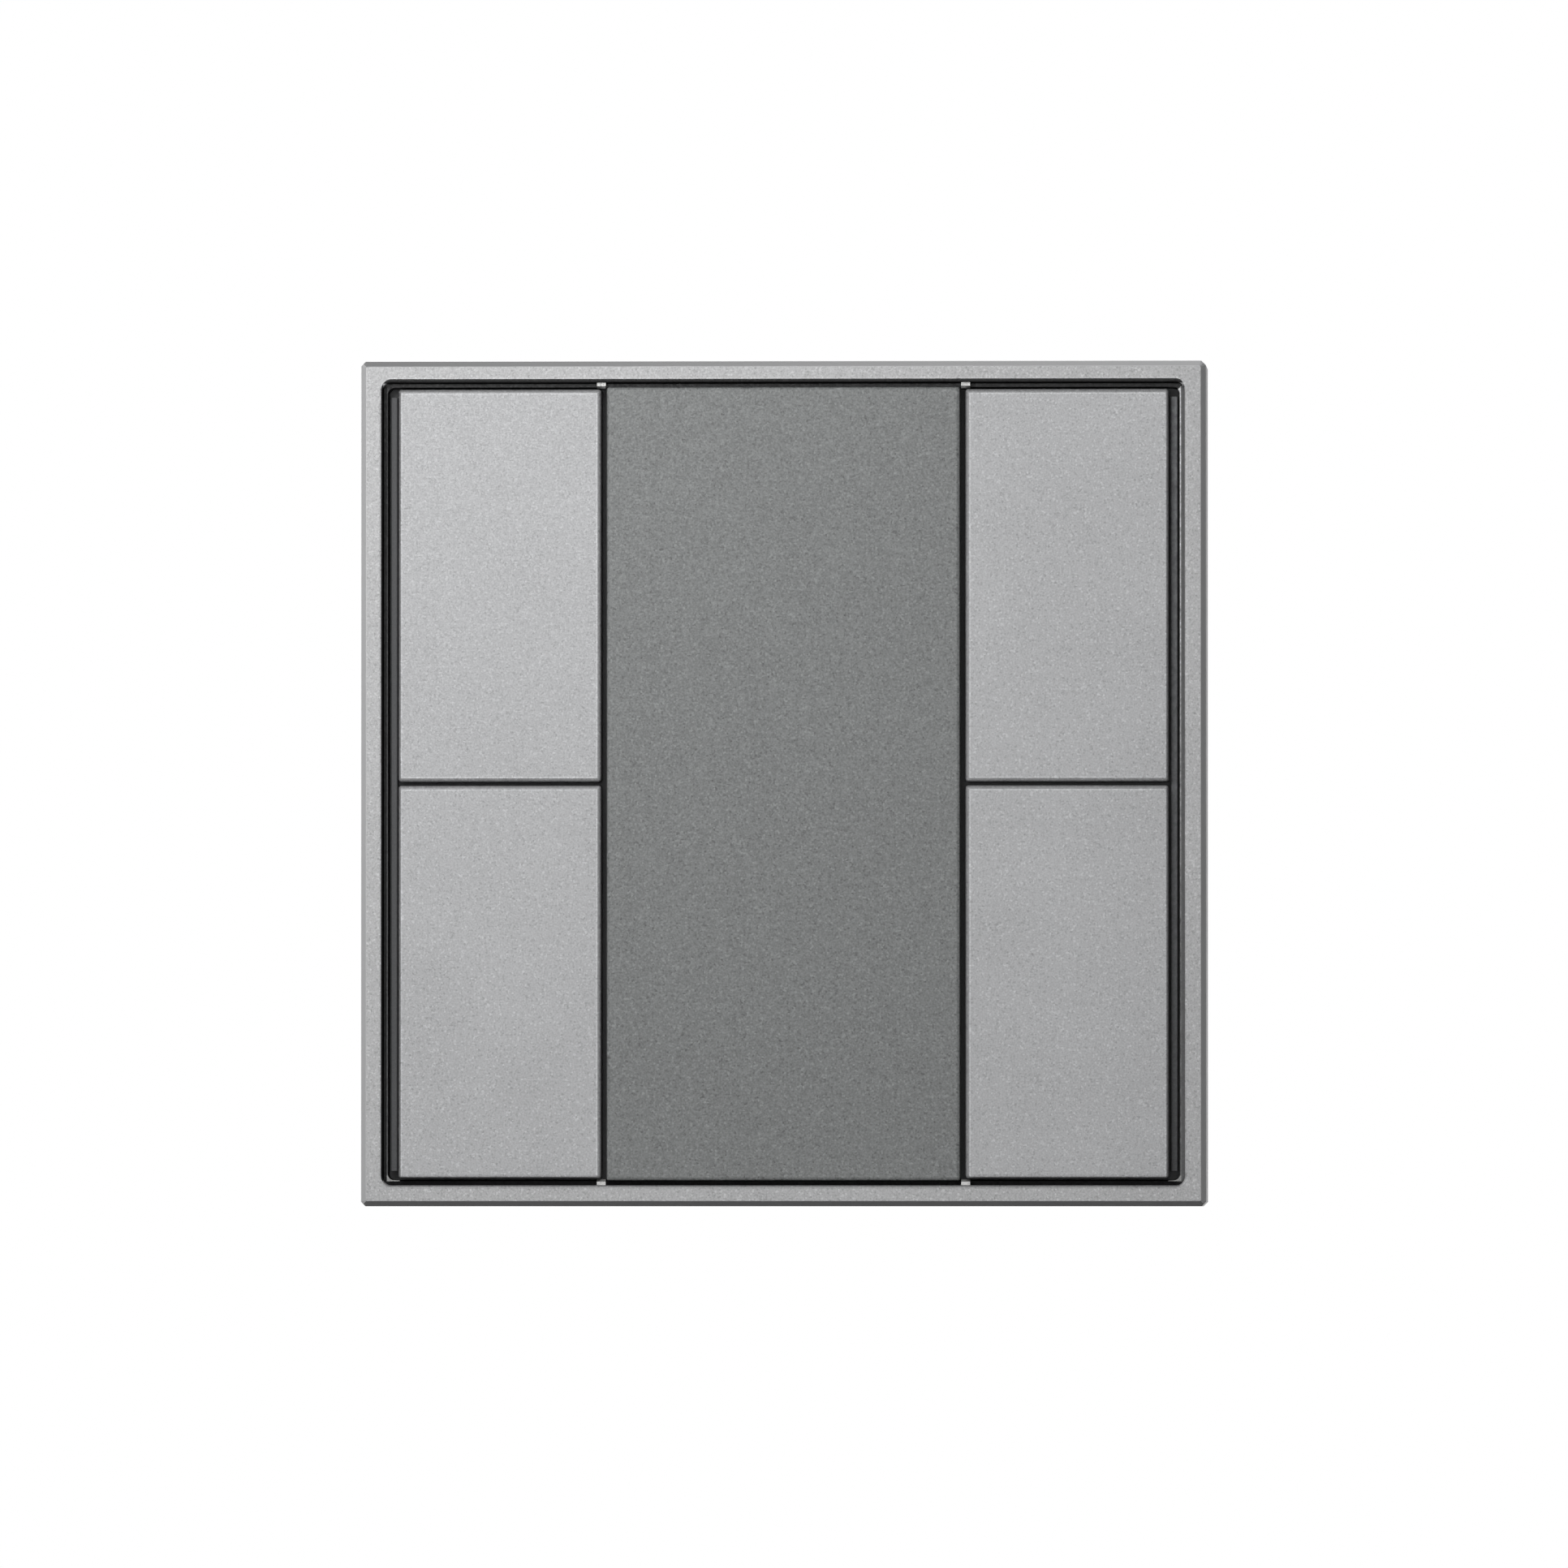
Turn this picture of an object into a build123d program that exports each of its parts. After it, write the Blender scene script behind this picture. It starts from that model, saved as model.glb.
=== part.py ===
from build123d import *
import os
from math import radians, sin

# Programmable push button switch for a wall box, in millimetres.
# X runs to the right, Z up the wall and Y into it, with the wall's surface at Y = 0.
# Heights are measured out of the wall, so a height h lies at Y = -h.

# Outer frame
FRAME_SIDE = 86.0
FRAME_BORDER = 2.15
FRAME_CHAMFER = 0.5
FRAME_CORNER_CUT = 0.45
FRAME_SKIRT_WALL = 1.8
OPENING_CORNER = 0.9
OPENING_EDGE = 0.3
STEP_WIDTH = 0.55
STEP_DEPTH = 1.9
STEP_EDGE = 0.15
STEP_SEAT = 0.1
TAB_WIDTH = 0.9
TAB_DEPTH = 0.8
TAB_SLOPE = 0.25
TAB_CLEARANCE = 0.1
BEAD_LENGTH = 8.0
BEAD_OFFSET = 9.0
BEAD_DEPTH = 0.6
BEAD_HEIGHT = 1.2
BEAD_RISE = 2.0
BEAD_CLEARANCE = 0.25

# Faces and the gaps between them
PANEL_WIDTH = 36.0
PANEL_END_GAP = 0.45
PANEL_RECESS = 0.15
COLUMN_GAP = 0.55
SIDE_GAP = 1.65
END_GAP = 0.7
ROW_GAP = 0.38
FACE_EDGE = 0.38
FACE_CORNER = 0.3

# Middle panel
PANEL_TOP = 1.6
PANEL_WALL = 1.2
PANEL_SKIRT_INSET = 0.55
PANEL_HOOK_STEP = 27.0
PANEL_HOOK_INSET = 0.9

# Button caps
CAP_TOP = 1.6
CAP_WALL = 1.2
CAP_HOLLOW = 2.6
CAP_RECESS = 0.4
CAP_LANDING = 0.08
BUTTON_TILT = 2.4
PUSHER_INSET = 5.35
PUSHER_RADIUS = 1.6
PUSHER_ROUND = 1.1
PUSHER_PLAY = 0.08
RIB_WALL = 0.9
RIB_HEIGHT = 0.8
RIB_ARM = 5.0
CROSS_RIB_OFFSET = 7.0

# Snap hooks, the same on the caps and on the middle panel
HOOK_WIDTH = 5.0
HOOK_WALL = 1.2
HOOK_GAP = 0.3
HOOK_OFFSET = 13.0
BARB_REACH = 0.7
BARB_HEIGHT = 0.9
BARB_NOSE = 0.25
BARB_CLEARANCE = 0.05
SLOT_CLEARANCE = 0.3

# Button pivots and their bearings
HINGE_RISE = 1.2
PIVOT_RADIUS = 0.8
PIVOT_CLEARANCE = 0.05
PIVOT_LENGTH = 2.3
PIVOT_LEAD = 0.2
LUG_RADIUS = 1.05
LUG_WALL = 1.6
LUG_OFFSET = 11.3
LUG_CLEARANCE = 0.15
BEARING_WIDTH = 3.6
BEARING_WALL = 2.0
BEARING_TOP = 0.95
BEARING_MOUTH = 1.35
BEARING_LEAD = 0.4
BEARING_CLEARANCE = 0.3

# Button carrier
CARRIER_CLEARANCE = 0.2
CARRIER_WALL = 1.4
CARRIER_CORNER = 0.8
CARRIER_FOOT = 0.4
DECK_THICKNESS = 1.4
LEDGE_WIDTH = 0.72
LEDGE_DEPTH = 2.3
LEDGE_CRACK = 0.2
LEDGE_EDGE = 0.15
BOSS_RADIUS = 2.3
BOSS_HEIGHT = 1.8
NOSE_WIDTH = 5.4
NOSE_HEIGHT = 1.0
NOSE_REACH = 0.95
NOSE_RISE = 2.1
NOSE_CLEARANCE = 0.3

# Boards
BOARD_THICKNESS = 1.6
BOARD_CLEARANCE = 0.2
BOARD_EDGE_GAP = 0.5
BOARD_CORNER = 3.0
BOARD_SCREW_X = 11.0
BOARD_SCREW_INSET = 4.65
HEAD_ROOM_RADIUS = 4.5
COUPLER_CLEARANCE = 0.4
COUPLER_EDGE_GAP = 0.4
COUPLER_SCREW_X = 17.0
COUPLER_SCREW_Z = 8.0

# Screws
SCREW_RADIUS = 1.0
SCREW_LENGTH = 4.2
SCREW_HEAD_RADIUS = 1.9
SCREW_HEAD_HEIGHT = 1.1
SCREW_HEAD_ROUND = 0.5
SCREW_FIT = 0.05
RECESS_WIDTH = 0.5
RECESS_LENGTH = 2.2
RECESS_DEPTH = 0.6

# Tactile switches
SWITCH_SIDE = 6.0
SWITCH_BODY_HEIGHT = 3.2
SWITCH_BODY_BEVEL = 0.4
SWITCH_COVER = 0.3
SWITCH_BORE_DEPTH = 1.6
PLUNGER_RADIUS = 1.7
PLUNGER_CLEARANCE = 0.1
PLUNGER_RISE = 0.9
PLUNGER_TAIL = 1.2
PLUNGER_EDGE = 0.2
WINDOW_CLEARANCE = 0.4

# Mounting plate
PLATE_THICKNESS = 1.2
PLATE_CORNER = 3.0
PLATE_TAB_WIDTH = 10.0
PLATE_TAB_OFFSET = 20.0
PLATE_TAB_HEIGHT = 4.4
PLATE_BEND = 0.6
PLATE_CLEARANCE = 0.25
SCREW_PITCH = 60.0
SLOT_WIDTH = 3.8
SLOT_LENGTH = 7.0
WINDOW_GAP = 0.3

# Rear housing
HOUSING_SIDE = 48.4
HOUSING_CORNER_CUT = 9.0
HOUSING_DEPTH = 22.0
HOUSING_WALL = 1.6
HOUSING_EDGE = 1.2
FLANGE_REACH = 1.6
FLANGE_THICKNESS = 1.2
POST_RADIUS = 2.2
POCKET_WIDTH = 12.4
POCKET_HEIGHT = 10.4
POCKET_DEPTH = 10.0
POCKET_Z = -12.5
POCKET_WALL = 1.2
GUIDE_LENGTH = 4.0
GUIDE_WALL = 1.0
FIELD_WIDTH = 30.0
FIELD_HEIGHT = 8.0
FIELD_DEPTH = 0.3
FIELD_CORNER = 0.8
FIELD_Z = -0.5

# Plug-in link between the boards
LINK_COLUMNS = 5
LINK_ROWS = 2
LINK_PITCH = 2.54
LINK_Z = 13.0
LINK_PIN = 0.64
LINK_PIN_ROOM = 0.1
LINK_PIN_REACH = 5.0
LINK_BASE_HEIGHT = 2.5
LINK_GAP = 0.4

# Bus pins, programming switch, lamp and light pipe
BUS_PIN_RADIUS = 0.5
BUS_PIN_PITCH = 5.75
BUS_PIN_REACH = 5.5
BUS_PIN_FOOT = 0.2
BUS_PIN_TIP = 0.25
BUS_TAIL_SIDE = 0.64
BUS_TAIL_FIT = 0.05
BUS_COLLAR_RADIUS = 0.9
BUS_COLLAR_HEIGHT = 0.3
BUS_PIN_ROOM = 0.1
PROGRAM_X = -6.0
PROGRAM_Z = 9.0
PROGRAM_PROUD = 0.4
PROGRAM_ROOM = 0.3
LAMP_X = 6.0
LAMP_SIDE = 2.0
LAMP_HEIGHT = 0.9
PIPE_RADIUS = 1.4
PIPE_COLLAR = 0.6
PIPE_COLLAR_HEIGHT = 1.0
PIPE_ROOM = 0.05
PIPE_GAP = 0.15

# Parts on the boards
CONTROL_CHIP_SIDE = 10.0
CHIP_HEIGHT = 1.4
CHIP_BEVEL = 0.2
CHIP_MARK = 0.6
CONTROL_CHIP_Z = -6.0
BUS_CHIP_SIDE = 7.0
BUS_CHIP_Z = -4.0
CHOKE_RADIUS = 4.0
CHOKE_WAIST = 3.3
CHOKE_HEIGHT = 5.0
CHOKE_FLANGE = 1.0
CHOKE_X = -11.0
CHOKE_Z = -5.0
CAPACITOR_RADIUS = 4.0
CAPACITOR_HEIGHT = 8.0
CAPACITOR_BASE = 1.2
CAPACITOR_GROOVE = 0.4
CAPACITOR_ROUND = 0.6
CAPACITOR_X = 11.0
CAPACITOR_Z = -5.0

# Heights, added up from the wall
plate_front = PLATE_THICKNESS
flange_front = plate_front + FLANGE_THICKNESS
board_back = flange_front + BOARD_CLEARANCE
board_front = board_back + BOARD_THICKNESS
deck_back = board_front + BOSS_HEIGHT
deck_front = deck_back + DECK_THICKNESS
hinge_height = deck_front + HINGE_RISE
cap_underside = deck_front + CAP_HOLLOW
cap_face = cap_underside + CAP_TOP
frame_face = cap_face + CAP_RECESS
panel_face = frame_face - PANEL_RECESS
panel_underside = panel_face - PANEL_TOP
step_front = frame_face - STEP_DEPTH
step_back = deck_front + STEP_SEAT
ledge_front = frame_face - LEDGE_DEPTH
catch_height = deck_back - BARB_CLEARANCE
hook_end = catch_height - BARB_HEIGHT
switch_top = board_front + SWITCH_BODY_HEIGHT
plunger_top = switch_top + SWITCH_COVER + PLUNGER_RISE
housing_back = -HOUSING_DEPTH
housing_floor = housing_back + HOUSING_WALL
pocket_floor = housing_back + POCKET_DEPTH
coupler_back = pocket_floor + POCKET_WALL + COUPLER_CLEARANCE
coupler_front = coupler_back + BOARD_THICKNESS

# Places across the face
opening_half = FRAME_SIDE / 2 - FRAME_BORDER
step_half = opening_half - STEP_WIDTH
cavity_half = FRAME_SIDE / 2 - FRAME_SKIRT_WALL
carrier_half = cavity_half - CARRIER_CLEARANCE
panel_half = opening_half - PANEL_END_GAP
cap_inner = PANEL_WIDTH / 2 + COLUMN_GAP
cap_outer = opening_half - SIDE_GAP
cap_length = opening_half - END_GAP - ROW_GAP / 2
cap_middle = (ROW_GAP / 2 + opening_half - END_GAP) / 2
hinge_x = cap_inner + CAP_WALL + BEARING_CLEARANCE + BEARING_WIDTH / 2
pusher_x = cap_outer - PUSHER_INSET
skirt_end = deck_front + CAP_LANDING + (cap_outer - hinge_x) * sin(radians(BUTTON_TILT))
lug_face = LUG_OFFSET + LUG_WALL
cap_hook_outer = cap_outer - CAP_WALL - HOOK_GAP
panel_hook_outer = PANEL_WIDTH / 2 - PANEL_SKIRT_INSET - PANEL_WALL - PANEL_HOOK_INSET
tab_outer = carrier_half - CARRIER_WALL - PLATE_CLEARANCE
sheet_half = tab_outer - PLATE_THICKNESS - PLATE_BEND
board_half = tab_outer - PLATE_THICKNESS - BOARD_EDGE_GAP
board_screw_z = board_half - BOARD_SCREW_INSET
housing_inner = HOUSING_SIDE - 2 * HOUSING_WALL


def slab(outline, low, high):
    """An outline drawn as seen from the front, made solid between two heights."""
    return extrude(Plane.XZ.offset(low) * outline, high - low)


def beam(section, low, high):
    """A section of X against height, made solid between two levels up the wall."""
    top = Plane(origin=(0, 0, high), x_dir=(1, 0, 0), z_dir=(0, 0, -1))
    return extrude(top * section, high - low)


def span(left, right, low, high):
    """A rectangle given by its four sides."""
    return Pos((left + right) / 2, (low + high) / 2) * Rectangle(right - left, high - low)


def outline_of(*points):
    """A closed face through the points."""
    return make_face(Polyline(*points, close=True))


def cut_square(side, cut):
    """A square with its corners cut off."""
    return chamfer(Rectangle(side, side).vertices(), cut)


def front_face(solid):
    """The face that is farthest out of the wall."""
    return solid.faces().sort_by(Axis.Y)[0]


def back_face(solid):
    """The face that is deepest in the wall."""
    return solid.faces().sort_by(Axis.Y)[-1]


def face_at(solid, height):
    """The flat face that lies nearest to a height."""
    return solid.faces().filter_by(Axis.Y).sort_by(lambda face: abs(face.center().Y + height))[0]


def turned(solid):
    """The four copies of a solid, turned by quarters about the middle of the face."""
    return [Rot(0, quarter * 90, 0) * solid for quarter in range(4)]


def mirrored(solid):
    """The four copies of a solid, reflected to the left and downwards."""
    right = [solid, mirror(solid, Plane.XY)]
    return right + [mirror(copy, Plane.YZ) for copy in right]


def at_button(column, row):
    """Where a button's own frame lies: its middle level, turned over in the left column."""
    return Pos(0, 0, row * cap_middle) * Rot(0, 0 if column > 0 else 180, 0)


BUTTONS = {
    "upper_left": (-1, 1),
    "lower_left": (-1, -1),
    "upper_right": (1, 1),
    "lower_right": (1, -1),
}


def hook_section(outer, root, side):
    """A snap hook with its barb, from its root down; side says which way the barb points."""
    inner = outer - HOOK_WALL
    back = outer if side > 0 else inner
    front = inner if side > 0 else outer
    tip = front - side * BARB_REACH
    return outline_of(
        (back, root),
        (back, hook_end),
        (front, hook_end),
        (tip, catch_height - BARB_NOSE),
        (tip, catch_height),
        (front, catch_height),
        (front, root),
    )


def key_tab():
    """One tab that keeps the panel and a button column in their places, at the upper right."""
    inner = PANEL_WIDTH / 2 + TAB_CLEARANCE
    edge = cap_middle + cap_length / 2 + TAB_CLEARANCE
    tab = slab(span(inner, inner + TAB_WIDTH, edge, opening_half), step_back, frame_face - TAB_DEPTH)
    return chamfer(front_face(tab).edges().sort_by(Axis.Z)[0], TAB_SLOPE)


def snap_bead(offset):
    """One ridge inside the right wall of the frame, which clicks into the carrier's skirt."""
    ridge = outline_of(
        (cavity_half, BEAD_RISE),
        (cavity_half - BEAD_DEPTH, BEAD_RISE + BEAD_HEIGHT / 3),
        (cavity_half - BEAD_DEPTH, BEAD_RISE + BEAD_HEIGHT * 2 / 3),
        (cavity_half, BEAD_RISE + BEAD_HEIGHT),
    )
    return beam(ridge, offset - BEAD_LENGTH / 2, offset + BEAD_LENGTH / 2)


def outer_frame():
    frame = slab(cut_square(FRAME_SIDE, FRAME_CORNER_CUT), 0, frame_face)
    opening = RectangleRounded(2 * opening_half, 2 * opening_half, OPENING_CORNER)
    step = RectangleRounded(2 * step_half, 2 * step_half, OPENING_CORNER - STEP_WIDTH / 2)
    cavity = RectangleRounded(2 * cavity_half, 2 * cavity_half, CARRIER_CORNER)
    frame -= slab(opening, step_front, frame_face)
    frame -= slab(step, step_back, step_front)
    frame -= slab(cavity, 0, step_back)
    frame = chamfer(front_face(frame).outer_wire().edges(), FRAME_CHAMFER)
    frame = fillet(front_face(frame).inner_wires()[0].edges(), OPENING_EDGE)
    frame = fillet(face_at(frame, step_front).inner_wires()[0].edges(), STEP_EDGE)
    frame += mirrored(key_tab())
    for offset in (-BEAD_OFFSET, BEAD_OFFSET):
        frame += turned(snap_bead(offset))
    return frame


def middle_panel():
    face = RectangleRounded(PANEL_WIDTH, 2 * panel_half, FACE_CORNER)
    panel = slab(face, panel_underside, panel_face)
    panel = fillet(front_face(panel).edges(), FACE_EDGE)
    half_width = PANEL_WIDTH / 2 - PANEL_SKIRT_INSET
    half_height = panel_half - PANEL_SKIRT_INSET
    inner_width = 2 * (half_width - PANEL_WALL)
    inner_height = 2 * (half_height - PANEL_WALL)
    skirt = Rectangle(2 * half_width, 2 * half_height) - Rectangle(inner_width, inner_height)
    panel += slab(skirt, deck_front, panel_underside)
    ribs = Rectangle(RIB_WALL, inner_height)
    for level in (-1, 1):
        ribs += Pos(0, level * PANEL_HOOK_STEP / 2) * Rectangle(inner_width, RIB_WALL)
    panel += slab(ribs, panel_underside - RIB_HEIGHT, panel_underside)
    for level in (-1, 0, 1):
        low = level * PANEL_HOOK_STEP - HOOK_WIDTH / 2
        hook = beam(hook_section(panel_hook_outer, panel_underside, -1), low, low + HOOK_WIDTH)
        panel += [hook, mirror(hook, Plane.YZ)]
    return panel


def button_cap():
    """A hollow cap in its own frame: right column, level with its own middle."""
    width = cap_outer - cap_inner
    middle = (cap_outer + cap_inner) / 2
    cap = slab(Pos(middle, 0) * RectangleRounded(width, cap_length, FACE_CORNER), skirt_end, cap_face)
    cap = fillet(front_face(cap).edges(), FACE_EDGE)
    inner_width = width - 2 * CAP_WALL
    inner_length = cap_length - 2 * CAP_WALL
    cap -= slab(Pos(middle, 0) * Rectangle(inner_width, inner_length), skirt_end, cap_underside)
    ribs = Pos(hinge_x + RIB_ARM, 0) * Rectangle(RIB_WALL, inner_length)
    for end in (-1, 1):
        ribs += Pos(middle, end * CROSS_RIB_OFFSET) * Rectangle(inner_width, RIB_WALL)
    cap += slab(ribs, cap_underside - RIB_HEIGHT, cap_underside)
    pusher = slab(Pos(pusher_x, 0) * Circle(PUSHER_RADIUS), plunger_top + PUSHER_PLAY, cap_underside)
    cap += fillet(back_face(pusher).edges(), PUSHER_ROUND)
    lug = span(hinge_x - LUG_RADIUS, hinge_x + LUG_RADIUS, hinge_height, cap_underside)
    lug += Pos(hinge_x, hinge_height) * Circle(LUG_RADIUS)
    pivot = beam(Pos(hinge_x, hinge_height) * Circle(PIVOT_RADIUS), lug_face, lug_face + PIVOT_LENGTH)
    pivot = chamfer(pivot.faces().sort_by(Axis.Z)[-1].edges(), PIVOT_LEAD)
    mount = beam(lug, LUG_OFFSET, lug_face) + pivot
    hook = beam(
        hook_section(cap_hook_outer, cap_underside, 1),
        HOOK_OFFSET - HOOK_WIDTH / 2,
        HOOK_OFFSET + HOOK_WIDTH / 2,
    )
    for piece in (mount, hook):
        cap += [piece, mirror(piece, Plane.XY)]
    return cap


def bearing():
    """A snap-in bearing on the deck for a button's upper pivot, in the button's own frame."""
    top = hinge_height + BEARING_TOP
    block = span(hinge_x - BEARING_WIDTH / 2, hinge_x + BEARING_WIDTH / 2, deck_front, top)
    block -= Pos(hinge_x, hinge_height) * Circle(PIVOT_RADIUS + PIVOT_CLEARANCE)
    mouth = BEARING_MOUTH / 2
    block -= outline_of(
        (hinge_x - mouth, hinge_height),
        (hinge_x + mouth, hinge_height),
        (hinge_x + mouth, top - BEARING_LEAD),
        (hinge_x + mouth + BEARING_LEAD, top),
        (hinge_x - mouth - BEARING_LEAD, top),
        (hinge_x - mouth, top - BEARING_LEAD),
    )
    low = lug_face + LUG_CLEARANCE
    return beam(block, low, low + BEARING_WALL)


def deck_windows():
    """The holes in the deck under one button: for its switch and its two hooks."""
    side = SWITCH_SIDE + 2 * WINDOW_CLEARANCE
    holes = Pos(pusher_x, 0) * Rectangle(side, side)
    inner = cap_hook_outer - HOOK_WALL - SLOT_CLEARANCE
    outer = cap_hook_outer + SLOT_CLEARANCE + BARB_CLEARANCE
    half = HOOK_WIDTH / 2 + SLOT_CLEARANCE
    for end in (-1, 1):
        holes += span(inner, outer, end * HOOK_OFFSET - half, end * HOOK_OFFSET + half)
    return slab(holes, deck_back, deck_front)


def plate_nose():
    """A nose inside the carrier's right skirt, which clicks into a tab of the mounting plate."""
    root = carrier_half - CARRIER_WALL
    low = plate_front + NOSE_RISE
    nose = outline_of(
        (root, low),
        (root - NOSE_REACH, low + NOSE_HEIGHT / 2),
        (root - NOSE_REACH, low + NOSE_HEIGHT),
        (root, low + NOSE_HEIGHT),
    )
    return beam(nose, PLATE_TAB_OFFSET - NOSE_WIDTH / 2, PLATE_TAB_OFFSET + NOSE_WIDTH / 2)


def bead_window(offset):
    """The slot in the carrier's right skirt that a bead of the frame clicks into."""
    half = BEAD_LENGTH / 2 + BEAD_CLEARANCE
    slot = span(carrier_half - CARRIER_WALL, carrier_half, offset - half, offset + half)
    return slab(slot, BEAD_RISE - BEAD_CLEARANCE, BEAD_RISE + BEAD_HEIGHT + BEAD_CLEARANCE)


def side_ledge():
    """The raised edge beside the right buttons, seen in the gap to the frame."""
    outer = step_half - LEDGE_CRACK
    section = span(outer - LEDGE_WIDTH, outer, deck_front, ledge_front)
    section = fillet(section.vertices().sort_by(Axis.Y)[-2:], LEDGE_EDGE)
    end = step_half - OPENING_CORNER
    return beam(section, -end, end)


def board_bosses():
    """The screw bosses under the deck, with their pilot holes, at the upper right."""
    place = Pos(BOARD_SCREW_X, board_screw_z)
    boss = slab(place * Circle(BOSS_RADIUS), board_front, deck_back)
    pilot = place * Circle(SCREW_RADIUS + SCREW_FIT)
    return boss, slab(pilot, board_front, board_back + SCREW_LENGTH + SCREW_FIT)


def button_carrier():
    outline = RectangleRounded(2 * carrier_half, 2 * carrier_half, CARRIER_CORNER)
    inside = Rectangle(2 * (carrier_half - CARRIER_WALL), 2 * (carrier_half - CARRIER_WALL))
    carrier = slab(outline, CARRIER_FOOT, deck_front) - slab(inside, CARRIER_FOOT, deck_back)
    ledge = side_ledge()
    boss, hole = board_bosses()
    carrier += [ledge, mirror(ledge, Plane.YZ)]
    carrier += mirrored(boss) + mirrored(plate_nose())
    carrier -= mirrored(hole)
    for offset in (-BEAD_OFFSET, BEAD_OFFSET):
        carrier -= turned(bead_window(offset))
    for column, row in BUTTONS.values():
        place = at_button(column, row)
        carrier += [place * bearing(), place * mirror(bearing(), Plane.XY)]
        carrier -= place * deck_windows()
    slot_outer = panel_hook_outer + SLOT_CLEARANCE
    slot_inner = panel_hook_outer - HOOK_WALL - BARB_REACH - SLOT_CLEARANCE
    half = HOOK_WIDTH / 2 + SLOT_CLEARANCE
    for level in (-1, 0, 1):
        middle = level * PANEL_HOOK_STEP
        slot = slab(span(slot_inner, slot_outer, middle - half, middle + half), deck_back, deck_front)
        carrier -= [slot, mirror(slot, Plane.YZ)]
    return carrier


def circuit_board():
    outline = cut_square(2 * board_half, BOARD_CORNER)
    for across, up in ((-1, 0), (1, 0), (0, -1), (0, 1)):
        outline -= Pos(across * SCREW_PITCH / 2, up * SCREW_PITCH / 2) * Circle(HEAD_ROOM_RADIUS)
    for across in (-1, 1):
        for up in (-1, 1):
            outline -= Pos(across * BOARD_SCREW_X, up * board_screw_z) * Circle(SCREW_RADIUS + SCREW_FIT)
    return slab(outline, board_back, board_front)


def screw():
    """A pan head screw standing on the wall plane's middle, with its shank to the front."""
    head = slab(Circle(SCREW_HEAD_RADIUS), -SCREW_HEAD_HEIGHT, 0)
    head = fillet(back_face(head).edges(), SCREW_HEAD_ROUND)
    cross = Rectangle(RECESS_LENGTH, RECESS_WIDTH) + Rectangle(RECESS_WIDTH, RECESS_LENGTH)
    head -= slab(cross, -SCREW_HEAD_HEIGHT, RECESS_DEPTH - SCREW_HEAD_HEIGHT)
    shank = slab(Circle(SCREW_RADIUS), 0, SCREW_LENGTH)
    return head + chamfer(front_face(shank).edges(), SCREW_RADIUS / 2)


def board_screws():
    return Compound(mirrored(Pos(BOARD_SCREW_X, -board_back, board_screw_z) * screw()))


def coupler_screws():
    reversed_screw = Rot(180, 0, 0) * screw()
    return Compound(mirrored(Pos(COUPLER_SCREW_X, -coupler_front, COUPLER_SCREW_Z) * reversed_screw))


def switch_body():
    """A tactile switch's moulded body on the wall plane, with the bore for its plunger."""
    body = slab(cut_square(SWITCH_SIDE, SWITCH_BODY_BEVEL), 0, SWITCH_BODY_HEIGHT)
    bore = Circle(PLUNGER_RADIUS + PLUNGER_CLEARANCE)
    return body - slab(bore, SWITCH_BODY_HEIGHT - SWITCH_BORE_DEPTH, SWITCH_BODY_HEIGHT)


def switch_cover():
    """The steel cover on top of a switch body."""
    cover = cut_square(SWITCH_SIDE, SWITCH_BODY_BEVEL) - Circle(PLUNGER_RADIUS + PLUNGER_CLEARANCE)
    return slab(cover, SWITCH_BODY_HEIGHT, SWITCH_BODY_HEIGHT + SWITCH_COVER)


def switch_stem(end):
    """The plunger of a switch on the wall plane, up to the given height."""
    tail = SWITCH_BODY_HEIGHT + SWITCH_COVER - PLUNGER_TAIL
    stem = slab(Circle(PLUNGER_RADIUS), tail, end)
    return chamfer(front_face(stem).edges(), PLUNGER_EDGE)


def under_button(column, row, solid):
    """A solid of the wall plane's middle, put on the board under a button."""
    return at_button(column, row) * Pos(pusher_x, -board_front, 0) * solid


def mounting_plate():
    sheet = chamfer(Rectangle(2 * sheet_half, 2 * tab_outer).vertices(), PLATE_CORNER)
    sheet -= cut_square(HOUSING_SIDE + 2 * WINDOW_GAP, HOUSING_CORNER_CUT)
    slot = SlotOverall(SLOT_LENGTH, SLOT_WIDTH)
    for quarter in range(4):
        sheet -= Rot(0, 0, quarter * 90) * Pos(SCREW_PITCH / 2, 0) * slot
    plate = slab(sheet, 0, plate_front)
    top = plate_front + PLATE_TAB_HEIGHT
    inner = tab_outer - PLATE_THICKNESS
    root = sheet_half - PLATE_THICKNESS
    bend = outline_of(
        (root, 0),
        (tab_outer, 0),
        (tab_outer, top),
        (inner, top),
        (inner, plate_front),
        (root, plate_front),
    )
    outside = bend.vertices().sort_by_distance((tab_outer, 0))[0]
    bend = fillet(outside, PLATE_THICKNESS + PLATE_BEND)
    inside = bend.vertices().sort_by_distance((inner, plate_front))[0]
    bend = fillet(inside, PLATE_BEND)
    half = PLATE_TAB_WIDTH / 2
    tab = beam(bend, PLATE_TAB_OFFSET - half, PLATE_TAB_OFFSET + half)
    room = NOSE_WIDTH / 2 + NOSE_CLEARANCE
    low = plate_front + NOSE_RISE - NOSE_CLEARANCE
    high = plate_front + NOSE_RISE + NOSE_HEIGHT + BARB_CLEARANCE
    tab -= slab(span(inner, tab_outer, PLATE_TAB_OFFSET - room, PLATE_TAB_OFFSET + room), low, high)
    return plate + mirrored(tab)


def bus_tail(side, room):
    """The square outline of a bus pin's tail, with room around it."""
    width = BUS_TAIL_SIDE + 2 * room
    return Pos(side * BUS_PIN_PITCH / 2, POCKET_Z) * Rectangle(width, width)


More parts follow.
